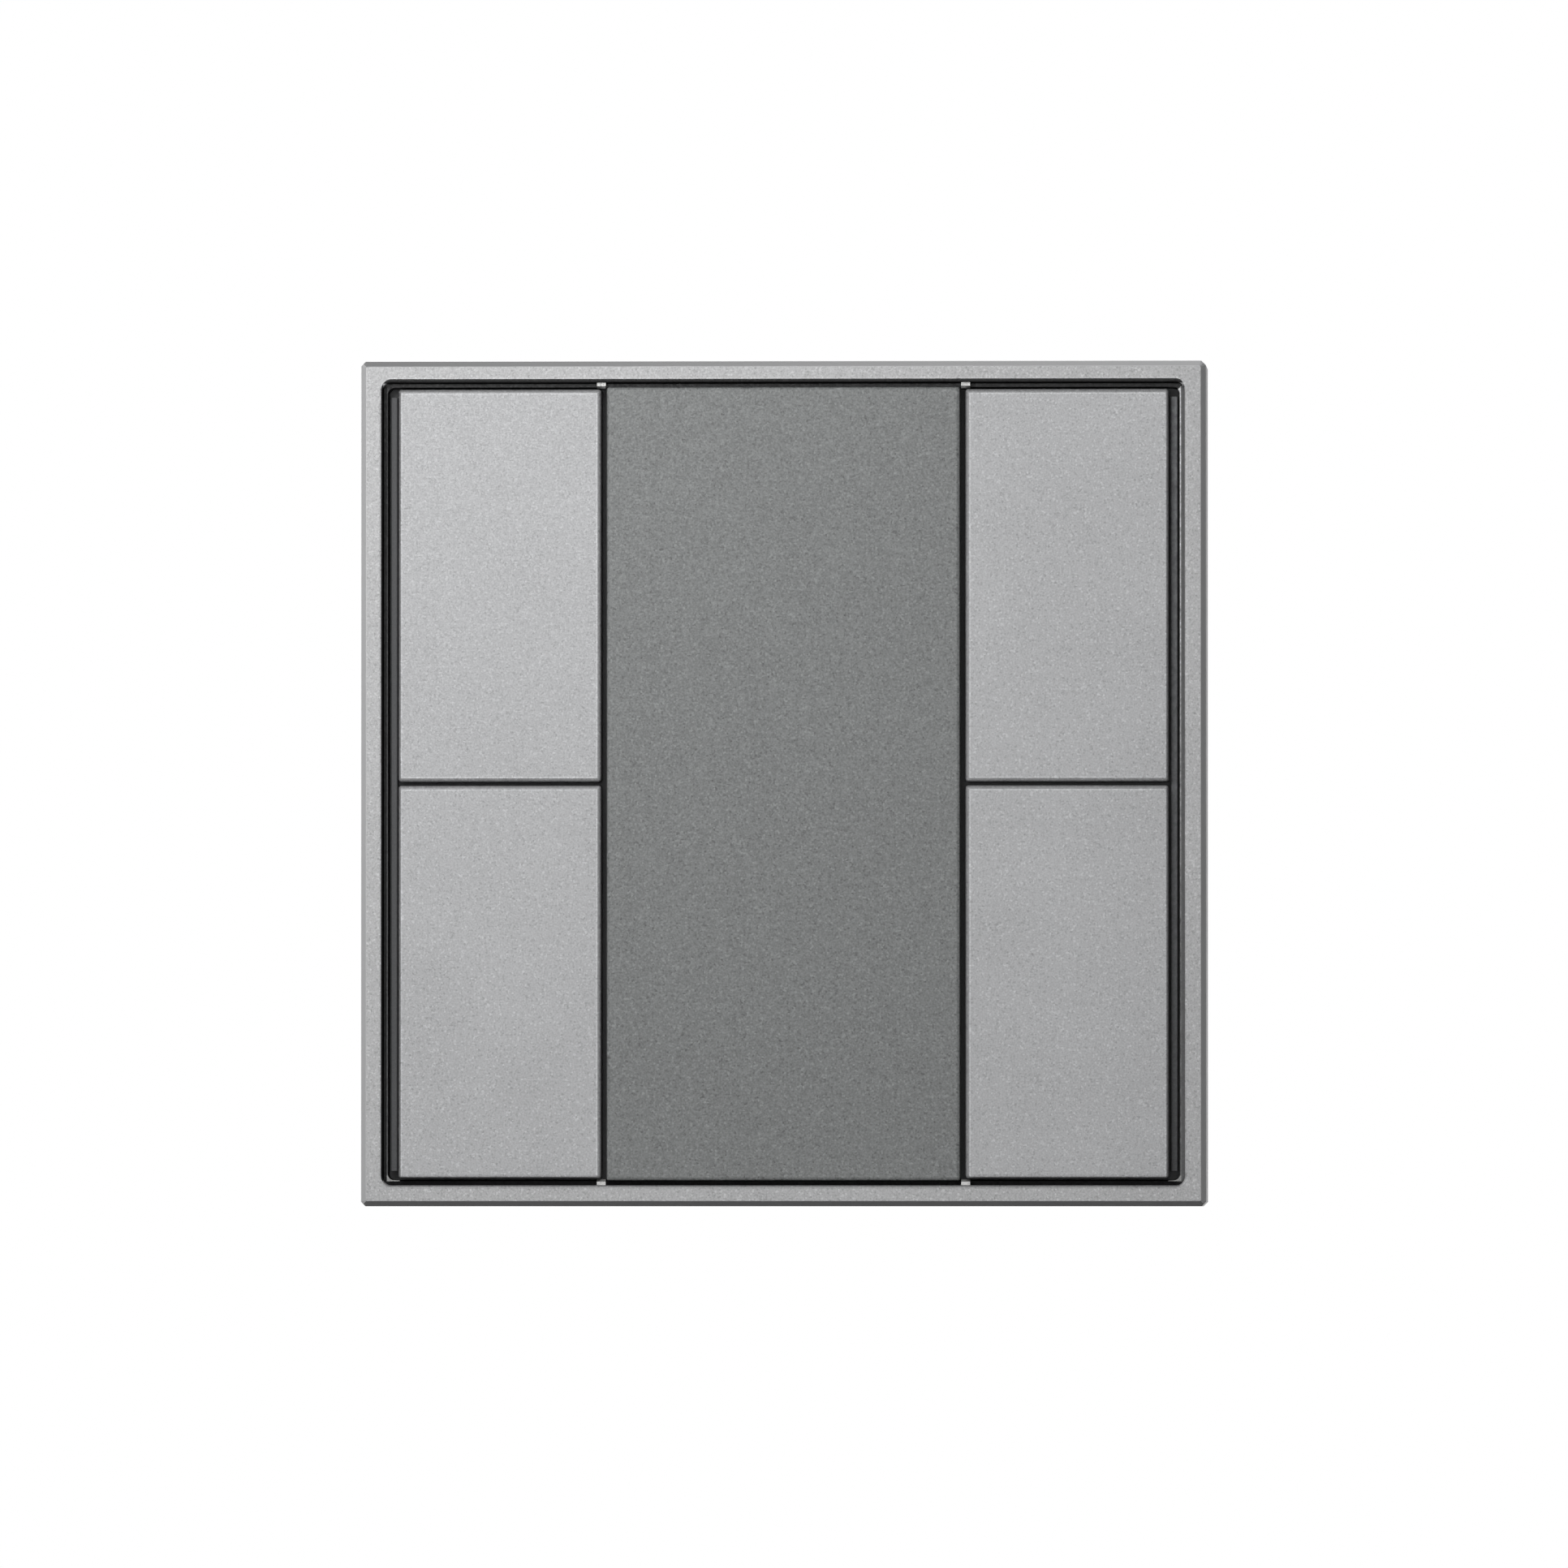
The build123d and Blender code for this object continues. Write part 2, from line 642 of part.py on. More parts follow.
def rear_housing():
    cup = slab(cut_square(HOUSING_SIDE, HOUSING_CORNER_CUT), housing_back, plate_front)
    cup = fillet(back_face(cup).edges(), HOUSING_EDGE)
    cup += slab(cut_square(HOUSING_SIDE + 2 * FLANGE_REACH, HOUSING_CORNER_CUT), plate_front, flange_front)
    hollow = cut_square(housing_inner, HOUSING_CORNER_CUT - HOUSING_WALL / 2)
    cup -= slab(hollow, housing_floor, flange_front)
    pocket = Pos(0, POCKET_Z) * Rectangle(POCKET_WIDTH, POCKET_HEIGHT)
    shroud = Pos(0, POCKET_Z) * Rectangle(POCKET_WIDTH + 2 * POCKET_WALL, POCKET_HEIGHT + 2 * POCKET_WALL)
    cup += slab(shroud, housing_floor, pocket_floor + POCKET_WALL)
    cup -= slab(pocket, housing_back, pocket_floor)
    for side in (-1, 1):
        cup -= slab(bus_tail(side, BUS_PIN_ROOM), pocket_floor, pocket_floor + POCKET_WALL)
    program = Pos(PROGRAM_X, PROGRAM_Z)
    program_bore = PLUNGER_RADIUS + PROGRAM_ROOM
    cup += slab(program * Circle(program_bore + GUIDE_WALL), housing_floor, housing_floor + GUIDE_LENGTH)
    cup -= slab(program * Circle(program_bore), housing_back, housing_floor + GUIDE_LENGTH)
    cup -= slab(Pos(LAMP_X, PROGRAM_Z) * Circle(PIPE_RADIUS + PIPE_ROOM), housing_back, housing_floor)
    place = Pos(COUPLER_SCREW_X, COUPLER_SCREW_Z)
    pilot = place * Circle(SCREW_RADIUS + SCREW_FIT)
    cup += mirrored(slab(place * Circle(POST_RADIUS), housing_floor, coupler_back))
    cup -= mirrored(slab(pilot, coupler_front - SCREW_LENGTH - SCREW_FIT, coupler_back))
    field = Pos(0, FIELD_Z) * RectangleRounded(FIELD_WIDTH, FIELD_HEIGHT, FIELD_CORNER)
    cup -= slab(field, housing_back, housing_back + FIELD_DEPTH)
    return cup


def coupler_board():
    outline = cut_square(housing_inner - 2 * COUPLER_EDGE_GAP, HOUSING_CORNER_CUT)
    hole = Circle(SCREW_RADIUS + SCREW_FIT)
    for across in (-1, 1):
        for up in (-1, 1):
            outline -= Pos(across * COUPLER_SCREW_X, up * COUPLER_SCREW_Z) * hole
        outline -= bus_tail(across, BUS_TAIL_FIT)
    return slab(outline, coupler_back, coupler_front)


def link_grid(section):
    """The section at each place of the plug-in link."""
    grid = GridLocations(LINK_PITCH, LINK_PITCH, LINK_COLUMNS, LINK_ROWS)
    return [Pos(0, LINK_Z) * place * section for place in grid]


def link_block():
    """The outline of the link's moulded blocks."""
    return Pos(0, LINK_Z) * Rectangle(LINK_PITCH * LINK_COLUMNS, LINK_PITCH * LINK_ROWS)


def board_socket():
    low = coupler_front + LINK_BASE_HEIGHT + LINK_GAP
    socket = slab(link_block(), low, board_back)
    room = LINK_PIN + 2 * LINK_PIN_ROOM
    high = low + LINK_PIN_REACH + LINK_PIN_ROOM
    return socket - [slab(hole, low, high) for hole in link_grid(Rectangle(room, room))]


def board_header():
    header = slab(link_block(), coupler_front, coupler_front + LINK_BASE_HEIGHT)
    pins = link_grid(Rectangle(LINK_PIN, LINK_PIN))
    return header - [slab(pin, coupler_front, coupler_front + LINK_BASE_HEIGHT) for pin in pins]


def link_pins():
    high = coupler_front + LINK_BASE_HEIGHT + LINK_GAP + LINK_PIN_REACH
    return Compound([slab(pin, coupler_front, high) for pin in link_grid(Rectangle(LINK_PIN, LINK_PIN))])


def bus_pins():
    """The two pins for the bus plug, each with a square tail in the board and a collar under it."""
    pins = []
    for side in (-1, 1):
        place = Pos(side * BUS_PIN_PITCH / 2, POCKET_Z)
        foot = pocket_floor - BUS_PIN_FOOT
        pin = slab(place * Circle(BUS_PIN_RADIUS), pocket_floor - BUS_PIN_REACH, foot)
        pin = chamfer(back_face(pin).edges(), BUS_PIN_TIP)
        pin += slab(bus_tail(side, 0), foot, coupler_front)
        pin += slab(place * Circle(BUS_COLLAR_RADIUS), coupler_back - BUS_COLLAR_HEIGHT, coupler_back)
        pins.append(pin)
    return Compound(pins)


def on_coupler_back(solid):
    """A solid of the wall plane's middle, turned over and put behind the coupler board."""
    return Pos(PROGRAM_X, -coupler_back, PROGRAM_Z) * Rot(180, 0, 0) * solid


def programming_switch():
    return on_coupler_back(switch_body() + switch_cover())


def programming_button():
    return on_coupler_back(switch_stem(coupler_back - housing_back + PROGRAM_PROUD))


def programming_lamp():
    outline = Pos(LAMP_X, PROGRAM_Z) * Rectangle(LAMP_SIDE, LAMP_SIDE)
    lamp = slab(outline, coupler_back - LAMP_HEIGHT, coupler_back)
    return chamfer(back_face(lamp).edges(), LAMP_HEIGHT / 4)


def light_pipe():
    place = Pos(LAMP_X, PROGRAM_Z)
    pipe = slab(place * Circle(PIPE_RADIUS), housing_back, coupler_back - LAMP_HEIGHT - PIPE_GAP)
    collar = place * Circle(PIPE_RADIUS + PIPE_COLLAR)
    return pipe + slab(collar, housing_floor, housing_floor + PIPE_COLLAR_HEIGHT)


def chip(side, front):
    """A chip's package with bevelled edges and a round mark, lying under a height."""
    package = slab(Rectangle(side, side), front - CHIP_HEIGHT, front)
    package = chamfer(back_face(package).edges(), CHIP_BEVEL)
    mark = Pos(CHIP_MARK * 2 - side / 2, side / 2 - CHIP_MARK * 2) * Circle(CHIP_MARK)
    return package - slab(mark, front - CHIP_HEIGHT, front - CHIP_HEIGHT + CHIP_BEVEL)


def control_chip():
    return Pos(0, 0, CONTROL_CHIP_Z) * chip(CONTROL_CHIP_SIDE, board_back)


def bus_chip():
    on_front = Pos(0, -coupler_front, BUS_CHIP_Z) * Rot(180, 0, 0)
    return on_front * chip(BUS_CHIP_SIDE, 0)


def bus_choke():
    place = Pos(CHOKE_X, CHOKE_Z)
    top = coupler_front + CHOKE_HEIGHT
    choke = slab(place * Circle(CHOKE_WAIST), coupler_front, top)
    choke += slab(place * Circle(CHOKE_RADIUS), coupler_front, coupler_front + CHOKE_FLANGE)
    return choke + slab(place * Circle(CHOKE_RADIUS), top - CHOKE_FLANGE, top)


def storage_capacitor():
    place = Pos(CAPACITOR_X, CAPACITOR_Z)
    side = 2 * CAPACITOR_RADIUS
    base = coupler_front + CAPACITOR_BASE
    can = slab(place * Circle(CAPACITOR_RADIUS), base + CAPACITOR_GROOVE, coupler_front + CAPACITOR_HEIGHT)
    can = fillet(front_face(can).edges(), CAPACITOR_ROUND)
    can += slab(place * Circle(CAPACITOR_RADIUS - CAPACITOR_GROOVE), base, base + CAPACITOR_GROOVE)
    return can + slab(place * cut_square(side, CAPACITOR_ROUND), coupler_front, base)


def switch_set(solid):
    """The same solid of a switch under each of the four buttons."""
    return Compound([under_button(column, row, solid) for column, row in BUTTONS.values()])


parts = {
    "outer_frame": outer_frame(),
    "middle_panel": middle_panel(),
    "button_carrier": button_carrier(),
    "circuit_board": circuit_board(),
    "board_screws": board_screws(),
    "switch_bodies": switch_set(switch_body()),
    "switch_covers": switch_set(switch_cover()),
    "control_chip": control_chip(),
    "board_socket": board_socket(),
    "board_header": board_header(),
    "link_pins": link_pins(),
    "coupler_board": coupler_board(),
    "coupler_screws": coupler_screws(),
    "bus_chip": bus_chip(),
    "bus_choke": bus_choke(),
    "storage_capacitor": storage_capacitor(),
    "bus_pins": bus_pins(),
    "programming_switch": programming_switch(),
    "programming_button": programming_button(),
    "programming_lamp": programming_lamp(),
    "light_pipe": light_pipe(),
    "mounting_plate": mounting_plate(),
    "rear_housing": rear_housing(),
}
cap = button_cap()
plunger = switch_stem(SWITCH_BODY_HEIGHT + SWITCH_COVER + PLUNGER_RISE)
for name, (column, row) in BUTTONS.items():
    parts[name + "_button"] = at_button(column, row) * cap
    parts[name + "_plunger"] = under_button(column, row, plunger)

os.makedirs("parts", exist_ok=True)
for name, solid in parts.items():
    export_step(solid, "parts/" + name + ".step")
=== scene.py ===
import math

import bpy
from bpy.props import FloatProperty, FloatVectorProperty, PointerProperty
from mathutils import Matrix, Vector


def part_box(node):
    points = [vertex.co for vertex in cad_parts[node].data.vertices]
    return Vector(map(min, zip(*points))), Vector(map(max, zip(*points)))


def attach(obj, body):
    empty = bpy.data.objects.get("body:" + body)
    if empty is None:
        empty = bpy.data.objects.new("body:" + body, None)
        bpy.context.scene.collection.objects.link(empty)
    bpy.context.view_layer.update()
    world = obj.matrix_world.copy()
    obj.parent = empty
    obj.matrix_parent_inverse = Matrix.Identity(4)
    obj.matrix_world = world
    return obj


bl_info = {
    "name": "Push button switch",
    "version": (1, 0, 0),
    "blender": (4, 5, 0),
    "location": "3D View > Sidebar > Switch",
    "description": "Paints and dresses a wall push button switch and sets up its studio",
    "category": "Object",
}

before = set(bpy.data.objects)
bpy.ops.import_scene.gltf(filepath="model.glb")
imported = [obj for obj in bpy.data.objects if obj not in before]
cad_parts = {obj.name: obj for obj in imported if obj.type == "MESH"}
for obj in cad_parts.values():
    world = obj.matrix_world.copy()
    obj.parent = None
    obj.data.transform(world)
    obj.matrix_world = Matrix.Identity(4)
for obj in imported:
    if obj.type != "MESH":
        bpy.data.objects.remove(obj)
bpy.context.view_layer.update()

MM = 0.001
TINY = 1e-12
BUTTONS = ("upper_left", "lower_left", "upper_right", "lower_right")

# Boxes of the CAD nodes that paint and marks are placed by
FRAME_LOW, FRAME_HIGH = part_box("outer_frame")
PANEL_LOW, PANEL_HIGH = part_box("middle_panel")
CAP_LOW, CAP_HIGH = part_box("upper_right_button")
CARRIER_LOW, CARRIER_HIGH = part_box("button_carrier")
HOUSING_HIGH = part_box("rear_housing")[1]
PINS_LOW, PINS_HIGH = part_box("bus_pins")
PROGRAM_LOW, PROGRAM_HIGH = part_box("programming_button")
PIPE_LOW, PIPE_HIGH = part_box("light_pipe")

# Room for the roundings of the CAD where paint goes by place
SLACK = 0.05 * MM
WIDE_SLACK = 0.1 * MM
LEAST_EDGE = 0.04 * MM

# Parts of the bevel's width that its painted light and shade take in, across and in depth
BEVEL_ACROSS = 1.1
BEVEL_DOWN = 1.04

# Average of a noise or cell texture, and the detail and roughness of a noise
AVERAGE = 0.5
FINE = (3.0, 0.6)
SOFT = (2.0, 0.5)
SMOOTH = (0.0, 0.5)

# Moulded plastic: its patches in grains, and how far its roughness varies
PATCH_GRAINS = 60
GRAIN_GLOSS = 0.2
PATCH_GLOSS = 0.12

# Plated metal: its drawn lines and its patches, and how far they vary colour and roughness
LINE_PITCH = 0.12 * MM
LINE_DEPTH = 0.008 * MM
LINE_TONE = 0.22
LINE_GLOSS = 0.25
PLATING_PATCH = 4 * MM
PLATING_TONE = 0.25
PLATING_GLOSS = 0.3

# Solder mask: its grain, and the fields of the boards that have no tracks
MASK_GRAIN = 0.3 * MM
MASK_TONE = 0.15
MASK_ROUGHNESS = 0.28
BARE_SIZE = 14 * MM
BARE_LIMIT = -0.06

# Tracks under the solder mask: the wave that draws them, and how they show
TRACK_SCALE = 170.0
TRACK_BEND = 3.0
TRACK_BEND_SCALE = 0.4
TRACK_LIMIT = 0.62
TRACK_TONE = 0.55
TRACK_GLOSS = 0.08
TRACK_RISE = 0.02 * MM

# Clear plastic of the light pipe
ACRYLIC_IOR = 1.49

# Mesh work on the moulded marks
MERGE = 0.001 * MM
NEAR = 0.01 * MM
FACING = 0.5
RIM_SIDES = 64
ROUNDING_STEPS = 2
SMOOTH_ANGLE = math.radians(30)
QUARTER_TURN = math.radians(90)

# Soft boxes: place, then width and height, in metres
KEY_PLACE, KEY_SIZE = (-0.080, -0.229, 0.096), (0.15, 0.15)
FILL_PLACE, FILL_SIZE = (0.147, -3.50, 0.0), (0.88, 0.34)
BACK_PLACE, BACK_SIZE = (-0.40, 0.90, 0.28), (0.5, 0.5)

# Floor paper and camera
FLOOR_SIDE = 6.0
PAPER_GRAIN = 3 * MM
PAPER_TONE = 0.02
PAPER_ROUGHNESS = 0.9
SENSOR_WIDTH = 36.0
FARTHEST_SEEN = 20.0


def shade(label, about, colour):
    """A colour that a user may change."""
    return FloatVectorProperty(
        name=label, description=about, default=colour, subtype="COLOR", size=3, min=0.0, max=1.0
    )


def size(label, about, metres):
    """A length that a user may change."""
    return FloatProperty(
        name=label,
        description=about,
        default=metres,
        min=0.0,
        precision=5,
        subtype="DISTANCE",
        unit="LENGTH",
    )


def share(label, about, amount):
    """A part of one that a user may change."""
    return FloatProperty(name=label, description=about, default=amount, min=0.0, max=1.0, subtype="FACTOR")


def number(label, about, amount):
    """A plain number that a user may change."""
    return FloatProperty(name=label, description=about, default=amount, min=0.0)


def power(label, about, watts):
    """The power of a lamp that a user may change."""
    return FloatProperty(name=label, description=about, default=watts, unit="POWER")


def turn(label, about, degrees):
    """An angle that a user may change."""
    return FloatProperty(name=label, description=about, default=math.radians(degrees), subtype="ANGLE")


class FrontSettings(bpy.types.PropertyGroup):
    frame_colour: shade("Frame", "Silver paint of the outer frame", (0.485, 0.487, 0.492))
    button_colour: shade("Buttons", "Light grey paint of the four buttons", (0.470, 0.474, 0.483))
    panel_colour: shade("Panel", "Dark grey paint of the middle panel", (0.180, 0.187, 0.186))
    tab_colour: shade("Key tabs", "Dull plating of the tabs between panel and buttons", (0.32, 0.32, 0.315))
    flake_size: size("Flake", "Grain of the metallic paint", 0.19 * MM)
    flake_depth: size("Flake depth", "Height of the flakes in the paint", 0.012 * MM)
    speck_limit: share("Speck limit", "How far from the average a flake is that shows as a speck", 0.42)
    speck_height: share("Speck height", "Height of the specks against the flakes", 0.5)
    speck_gloss: share("Speck gloss", "How far the roughness varies from speck to speck", 0.15)
    bright_speck: share("Bright specks", "How much lighter the bright specks are", 0.25)
    dark_speck: share("Dark specks", "How much darker the dark specks are", 0.20)
    frame_grain: number("Frame grain", "Contrast of the flakes on the frame", 1.1)
    button_grain: number("Button grain", "Contrast of the flakes on the buttons", 1.05)
    panel_grain: number("Panel grain", "Contrast of the flakes on the panel", 1.75)
    cloud_size: size("Cloud", "Size of the soft uneven patches in the paint", 11.0 * MM)
    cloud_gloss: share("Cloud gloss", "How far the roughness varies from patch to patch", 0.10)
    cloud: share("Cloudiness", "Contrast of the soft uneven patches", 0.25)
    metal: share("Metal", "How metallic the paint is", 0.10)
    roughness: share("Roughness", "Roughness of the paint", 0.46)
    # The bevel is painted lighter or darker on each side, as painted light and shade
    bevel: size("Bevel", "Width of the smooth bevel round the frame", 0.5 * MM)
    left_bevel: number("Left bevel", "How light the left bevel is against the frame's face", 1.15)
    right_bevel: share("Right bevel", "How light the right bevel is against the frame's face", 0.70)
    lower_bevel: share("Lower bevel", "How light the lower bevel is against the frame's face", 0.20)
    upper_bevel: share("Upper bevel", "How light the upper bevel is against the frame's face", 0.86)
    upper_turn: share("Upper turn", "How much lighter the upper bevel gets towards the right", 0.38)
    border: size("Border", "From the frame's outside to the edge of its opening", 2.15 * MM)
    opening_edge: size("Opening edge", "Rounding of the edge of the opening", 0.3 * MM)
    opening_corner: size("Opening corner", "Rounding of the corners of the opening", 0.9 * MM)
    # Painted shade at the edge of the opening, with a painted highlight beside it
    upper_edge: size("Upper edge", "Width of the dark edge at the top of the opening", 0.36 * MM)
    left_edge: size("Left edge", "Width of the dark edge at the left of the opening", 0.11 * MM)
    edge_level: share("Edge level", "How light the dark edges of the opening are", 0.07)
    lower_edge: size("Lower edge", "Width of the shaded edge at the bottom of the opening", 0.40 * MM)
    lower_shade: share("Lower shade", "How dark the bottom edge of the opening gets", 0.80)
    opening_highlight: share("Opening bead", "How much lighter the bead of paint round the opening is", 0.13)
    tab_reach: size("Tab reach", "From the middle of a gap to the side of its key tab", 0.47 * MM)
    lip_depth: size("Lip depth", "From the frame's face back to the lip inside it", 1.9 * MM)
    lip_reach: size("Lip reach", "From the edge of the opening in to the rounded edge of the lip", 0.4 * MM)
    edge: size("Edge", "Rounding of the edges of buttons and panel", 0.38 * MM)
    # Painted shade along the edges of buttons and panel and down their sides into the gaps, and a painted
    # highlight beside the edges
    button_rim: size("Button rim", "Width of the thin paint along the edges of the buttons", 0.38 * MM)
    outer_rim: size("Outer rim", "Width of the thin paint along the outer edges of the buttons", 0.24 * MM)
    lower_rim: size("Lower rim", "Width of the thin paint along the lower ends of the buttons", 0.15 * MM)
    panel_rim: size("Panel rim", "Width of the thin paint along the edges of the panel", 0.08 * MM)
    edge_shade_level: share("Rim level", "How light the thin paint along the edges is", 0.62)
    bead: size("Bead", "Width of the bead of paint beside an edge", 0.13 * MM)
    highlight_gain: share("Bead shine", "How much lighter the bead of paint is", 0.26)
    gap_shade_level: share("Thin paint", "How light the thin paint is inside the gaps", 0.45)
    gap_shade_start: size("Thin start", "From an outer side in to the thin paint inside the gaps", 0.1 * MM)
    # Painted shade on the wall and lip inside the opening, and painted highlights on the lip
    wall_level: share("Wall level", "How light the wall of the frame's opening is", 0.16)
    lip_level: share("Lip level", "How light the lip is at the top and at the bottom", 0.06)
    left_lip: share("Left lip", "How light the lip is on the left", 0.03)
    left_sheen: share("Left sheen", "How light the lip's worn edge is, half way up the left side", 0.17)
    left_rise: share("Left rise", "How much lighter the worn edge on the left gets lower down", 0.08)
    highlight_level: share("Worn level", "How light the worn lip is, half way up the right side", 0.75)
    highlight_rise: share("Worn rise", "How much lighter the worn lip gets towards its upper end", 0.90)
    highlight_least: share("Worn least", "How light the worn lip is at its darkest", 0.32)
    sheen_size: size("Wear", "Grain of the sheen along the lip on the right", 0.6 * MM)
    sheen_grain: number("Wear grain", "Contrast of the sheen along the lip on the right", 2.2)
    # A painted glint at the lower corners of the lip
    glint: share("Glint", "How bare the lower corners of the lip are", 0.5)
    glint_width: size("Glint width", "Width of the bare lower corners of the lip", 1.7 * MM)
    glint_height: size("Glint height", "Height of the bare lower corners of the lip", 1.0 * MM)


class BackSettings(bpy.types.PropertyGroup):
    carrier_colour: shade("Carrier", "Dark plastic of the button carrier", (0.095, 0.097, 0.10))
    carrier_grain: size("Carrier grain", "Grain of the carrier's plastic", 0.16 * MM)
    carrier_depth: size("Carrier depth", "Depth of the grain of the carrier's plastic", 0.010 * MM)
    carrier_contrast: share("Carrier contrast", "Contrast of the carrier's plastic", 0.8)
    carrier_roughness: share("Carrier roughness", "Roughness of the carrier's plastic", 0.45)
    carrier_shine: share("Carrier shine", "Strength of the reflections on the carrier", 0.2)
    # Painted light on the right ledge of the carrier, lighter towards its upper end, with dust specks in it
    lit_ledge_depth: size("Dust depth", "How far down the ledge of the carrier the dust lies", 0.5 * MM)
    ledge_light: number("Dust level", "How much lighter the dust is, half way up the ledge", 1.3)
    ledge_light_rise: number("Dust rise", "How much lighter the dust gets towards the ledge's upper end", 1.0)
    lit_speck_size: size("Dust", "Grain of the dust on the ledge of the carrier", 0.6 * MM)
    lit_speck_grain: number("Dust grain", "Contrast of the dust on the ledge of the carrier", 2.0)
    housing_colour: shade("Housing", "Light grey plastic of the rear housing", (0.56, 0.57, 0.57))
    plate_colour: shade("Plate", "Zinc plated steel of the mounting plate", (0.62, 0.63, 0.65))
    nickel_colour: shade("Nickel", "Plated steel of screws and switch covers", (0.66, 0.65, 0.62))
    brass_colour: shade("Brass", "Plated brass of the pins", (0.80, 0.62, 0.30))
    board_colour: shade("Solder mask", "Green of the circuit boards", (0.020, 0.15, 0.055))
    black_colour: shade("Black", "Black plastic of switches and chips", (0.022, 0.022, 0.024))
    choke_colour: shade("Choke", "Coated ferrite of the choke", (0.07, 0.064, 0.058))
    can_colour: shade("Can", "Bare aluminium of the capacitor", (0.74, 0.75, 0.76))
    program_colour: shade("Programming button", "Red plastic of the programming button", (0.58, 0.035, 0.025))
    lamp_colour: shade("Lamp", "Tinted body of the programming lamp", (0.75, 0.16, 0.12))
    pipe_colour: shade("Light pipe", "Frosted plastic of the light pipe", (0.84, 0.80, 0.78))
    pipe_clearness: share("Clearness", "How much light goes through the light pipe", 0.6)


class MarkSettings(bpy.types.PropertyGroup):
    rise: size("Rise", "How far the moulded marks stand out of the housing", 0.25 * MM)
    stroke: size("Stroke", "Width of the strokes of the marks", 0.8 * MM)
    arm: size("Arm", "Length of each arm of the plus and of the minus", 0.9 * MM)
    offset: size("Offset", "Distance of the pole marks from the middle of the pocket", 9.2 * MM)
    arrow_height: size("Arrow", "Height of the upright arrow", 5.0 * MM)
    arrow_level: size("Arrow level", "Height of the arrow above the middle", 15.0 * MM)
    arrow_head: number("Arrow head", "Width of the arrow's head, in strokes", 3.6)
    button_hole: size("Button hole", "Radius of the hole for the programming button", 1.7 * MM)
    pipe_hole: size("Pipe hole", "Radius of the light pipe's end", 1.4 * MM)
    rim_gap: size("Rim gap", "Room between a hole in the housing and the rim round it", 0.35 * MM)
    rim_width: size("Rim width", "Width of the raised rims", 0.7 * MM)
    edge: size("Edge", "Rounding of the edges of the marks", 0.08 * MM)


class StudioSettings(bpy.types.PropertyGroup):
    distance: size("Distance", "From the camera to the middle of the face", 2.2)
    picture_width: size("Picture width", "Width of the picture at the face", 159.5 * MM)
    from_right: turn("From the right", "Turn of the camera", 2.1)
    from_below: turn("From below", "Drop of the camera", 1.1)
    aside: size("Aside", "From the middle of the face to the right, where the camera looks", 0.09 * MM)
    lower: size("Lower", "From the middle of the face down, where the camera looks", 0.05 * MM)
    floor_drop: size("Floor drop", "From the lowest point of the switch to the floor", 0.11)
    floor_colour: shade("Floor", "Colour of the floor", (0.86, 0.86, 0.86))
    floor_glow: share("Floor glow", "Part of the floor's white that needs no lamp", 0.80)
    floor_bounce: share("Floor bounce", "Part of the floor's colour that lights the switch", 0.15)
    key_power: power("Key", "Power of the main light", 0.39)
    fill_power: power("Fill", "Power of the light behind the camera", 9.8)
    back_power: power("Back", "Power of the light behind the switch", 6.5)
    ambient: share("Ambient", "Light from all sides", 0.09)


class Field:
    """A value that changes over a surface; arithmetic on it adds Math nodes."""

    def __init__(self, tree, socket):
        self.tree = tree
        self.socket = socket

    def joined(self, operation, first, second):
        node = self.tree.nodes.new("ShaderNodeMath")
        node.operation = operation
        feed(self.tree, node.inputs[0], first)
        feed(self.tree, node.inputs[1], second)
        return Field(self.tree, node.outputs[0])

    def __add__(self, other):
        return self.joined("ADD", self, other)

    def __radd__(self, other):
        return self.joined("ADD", other, self)

    def __sub__(self, other):
        return self.joined("SUBTRACT", self, other)

    def __rsub__(self, other):
        return self.joined("SUBTRACT", other, self)

    def __mul__(self, other):
        return self.joined("MULTIPLY", self, other)

    def __rmul__(self, other):
        return self.joined("MULTIPLY", other, self)

    def __truediv__(self, other):
        return self.joined("DIVIDE", self, other)

    def __rtruediv__(self, other):
        return self.joined("DIVIDE", other, self)

    def __neg__(self):
        return self.joined("MULTIPLY", self, -1.0)

    def __gt__(self, other):
        return self.joined("GREATER_THAN", self, other)

    def __lt__(self, other):
        return self.joined("LESS_THAN", self, other)

    def __abs__(self):
        return self.joined("ABSOLUTE", self, 0.0)

    def __or__(self, other):
        """The larger of two values."""
        return self.joined("MAXIMUM", self, other)

    def __and__(self, other):
        """The smaller of two values."""
        return self.joined("MINIMUM", self, other)

    __ror__ = __or__
    __rand__ = __and__

    def root(self):
        return self.joined("SQRT", self, 0.0)


def feed(tree, entry, value):
    """Links a field to a socket, or sets the socket to a constant."""
    if isinstance(value, Field):
        tree.links.new(value.socket, entry)
    else:
        entry.default_value = value


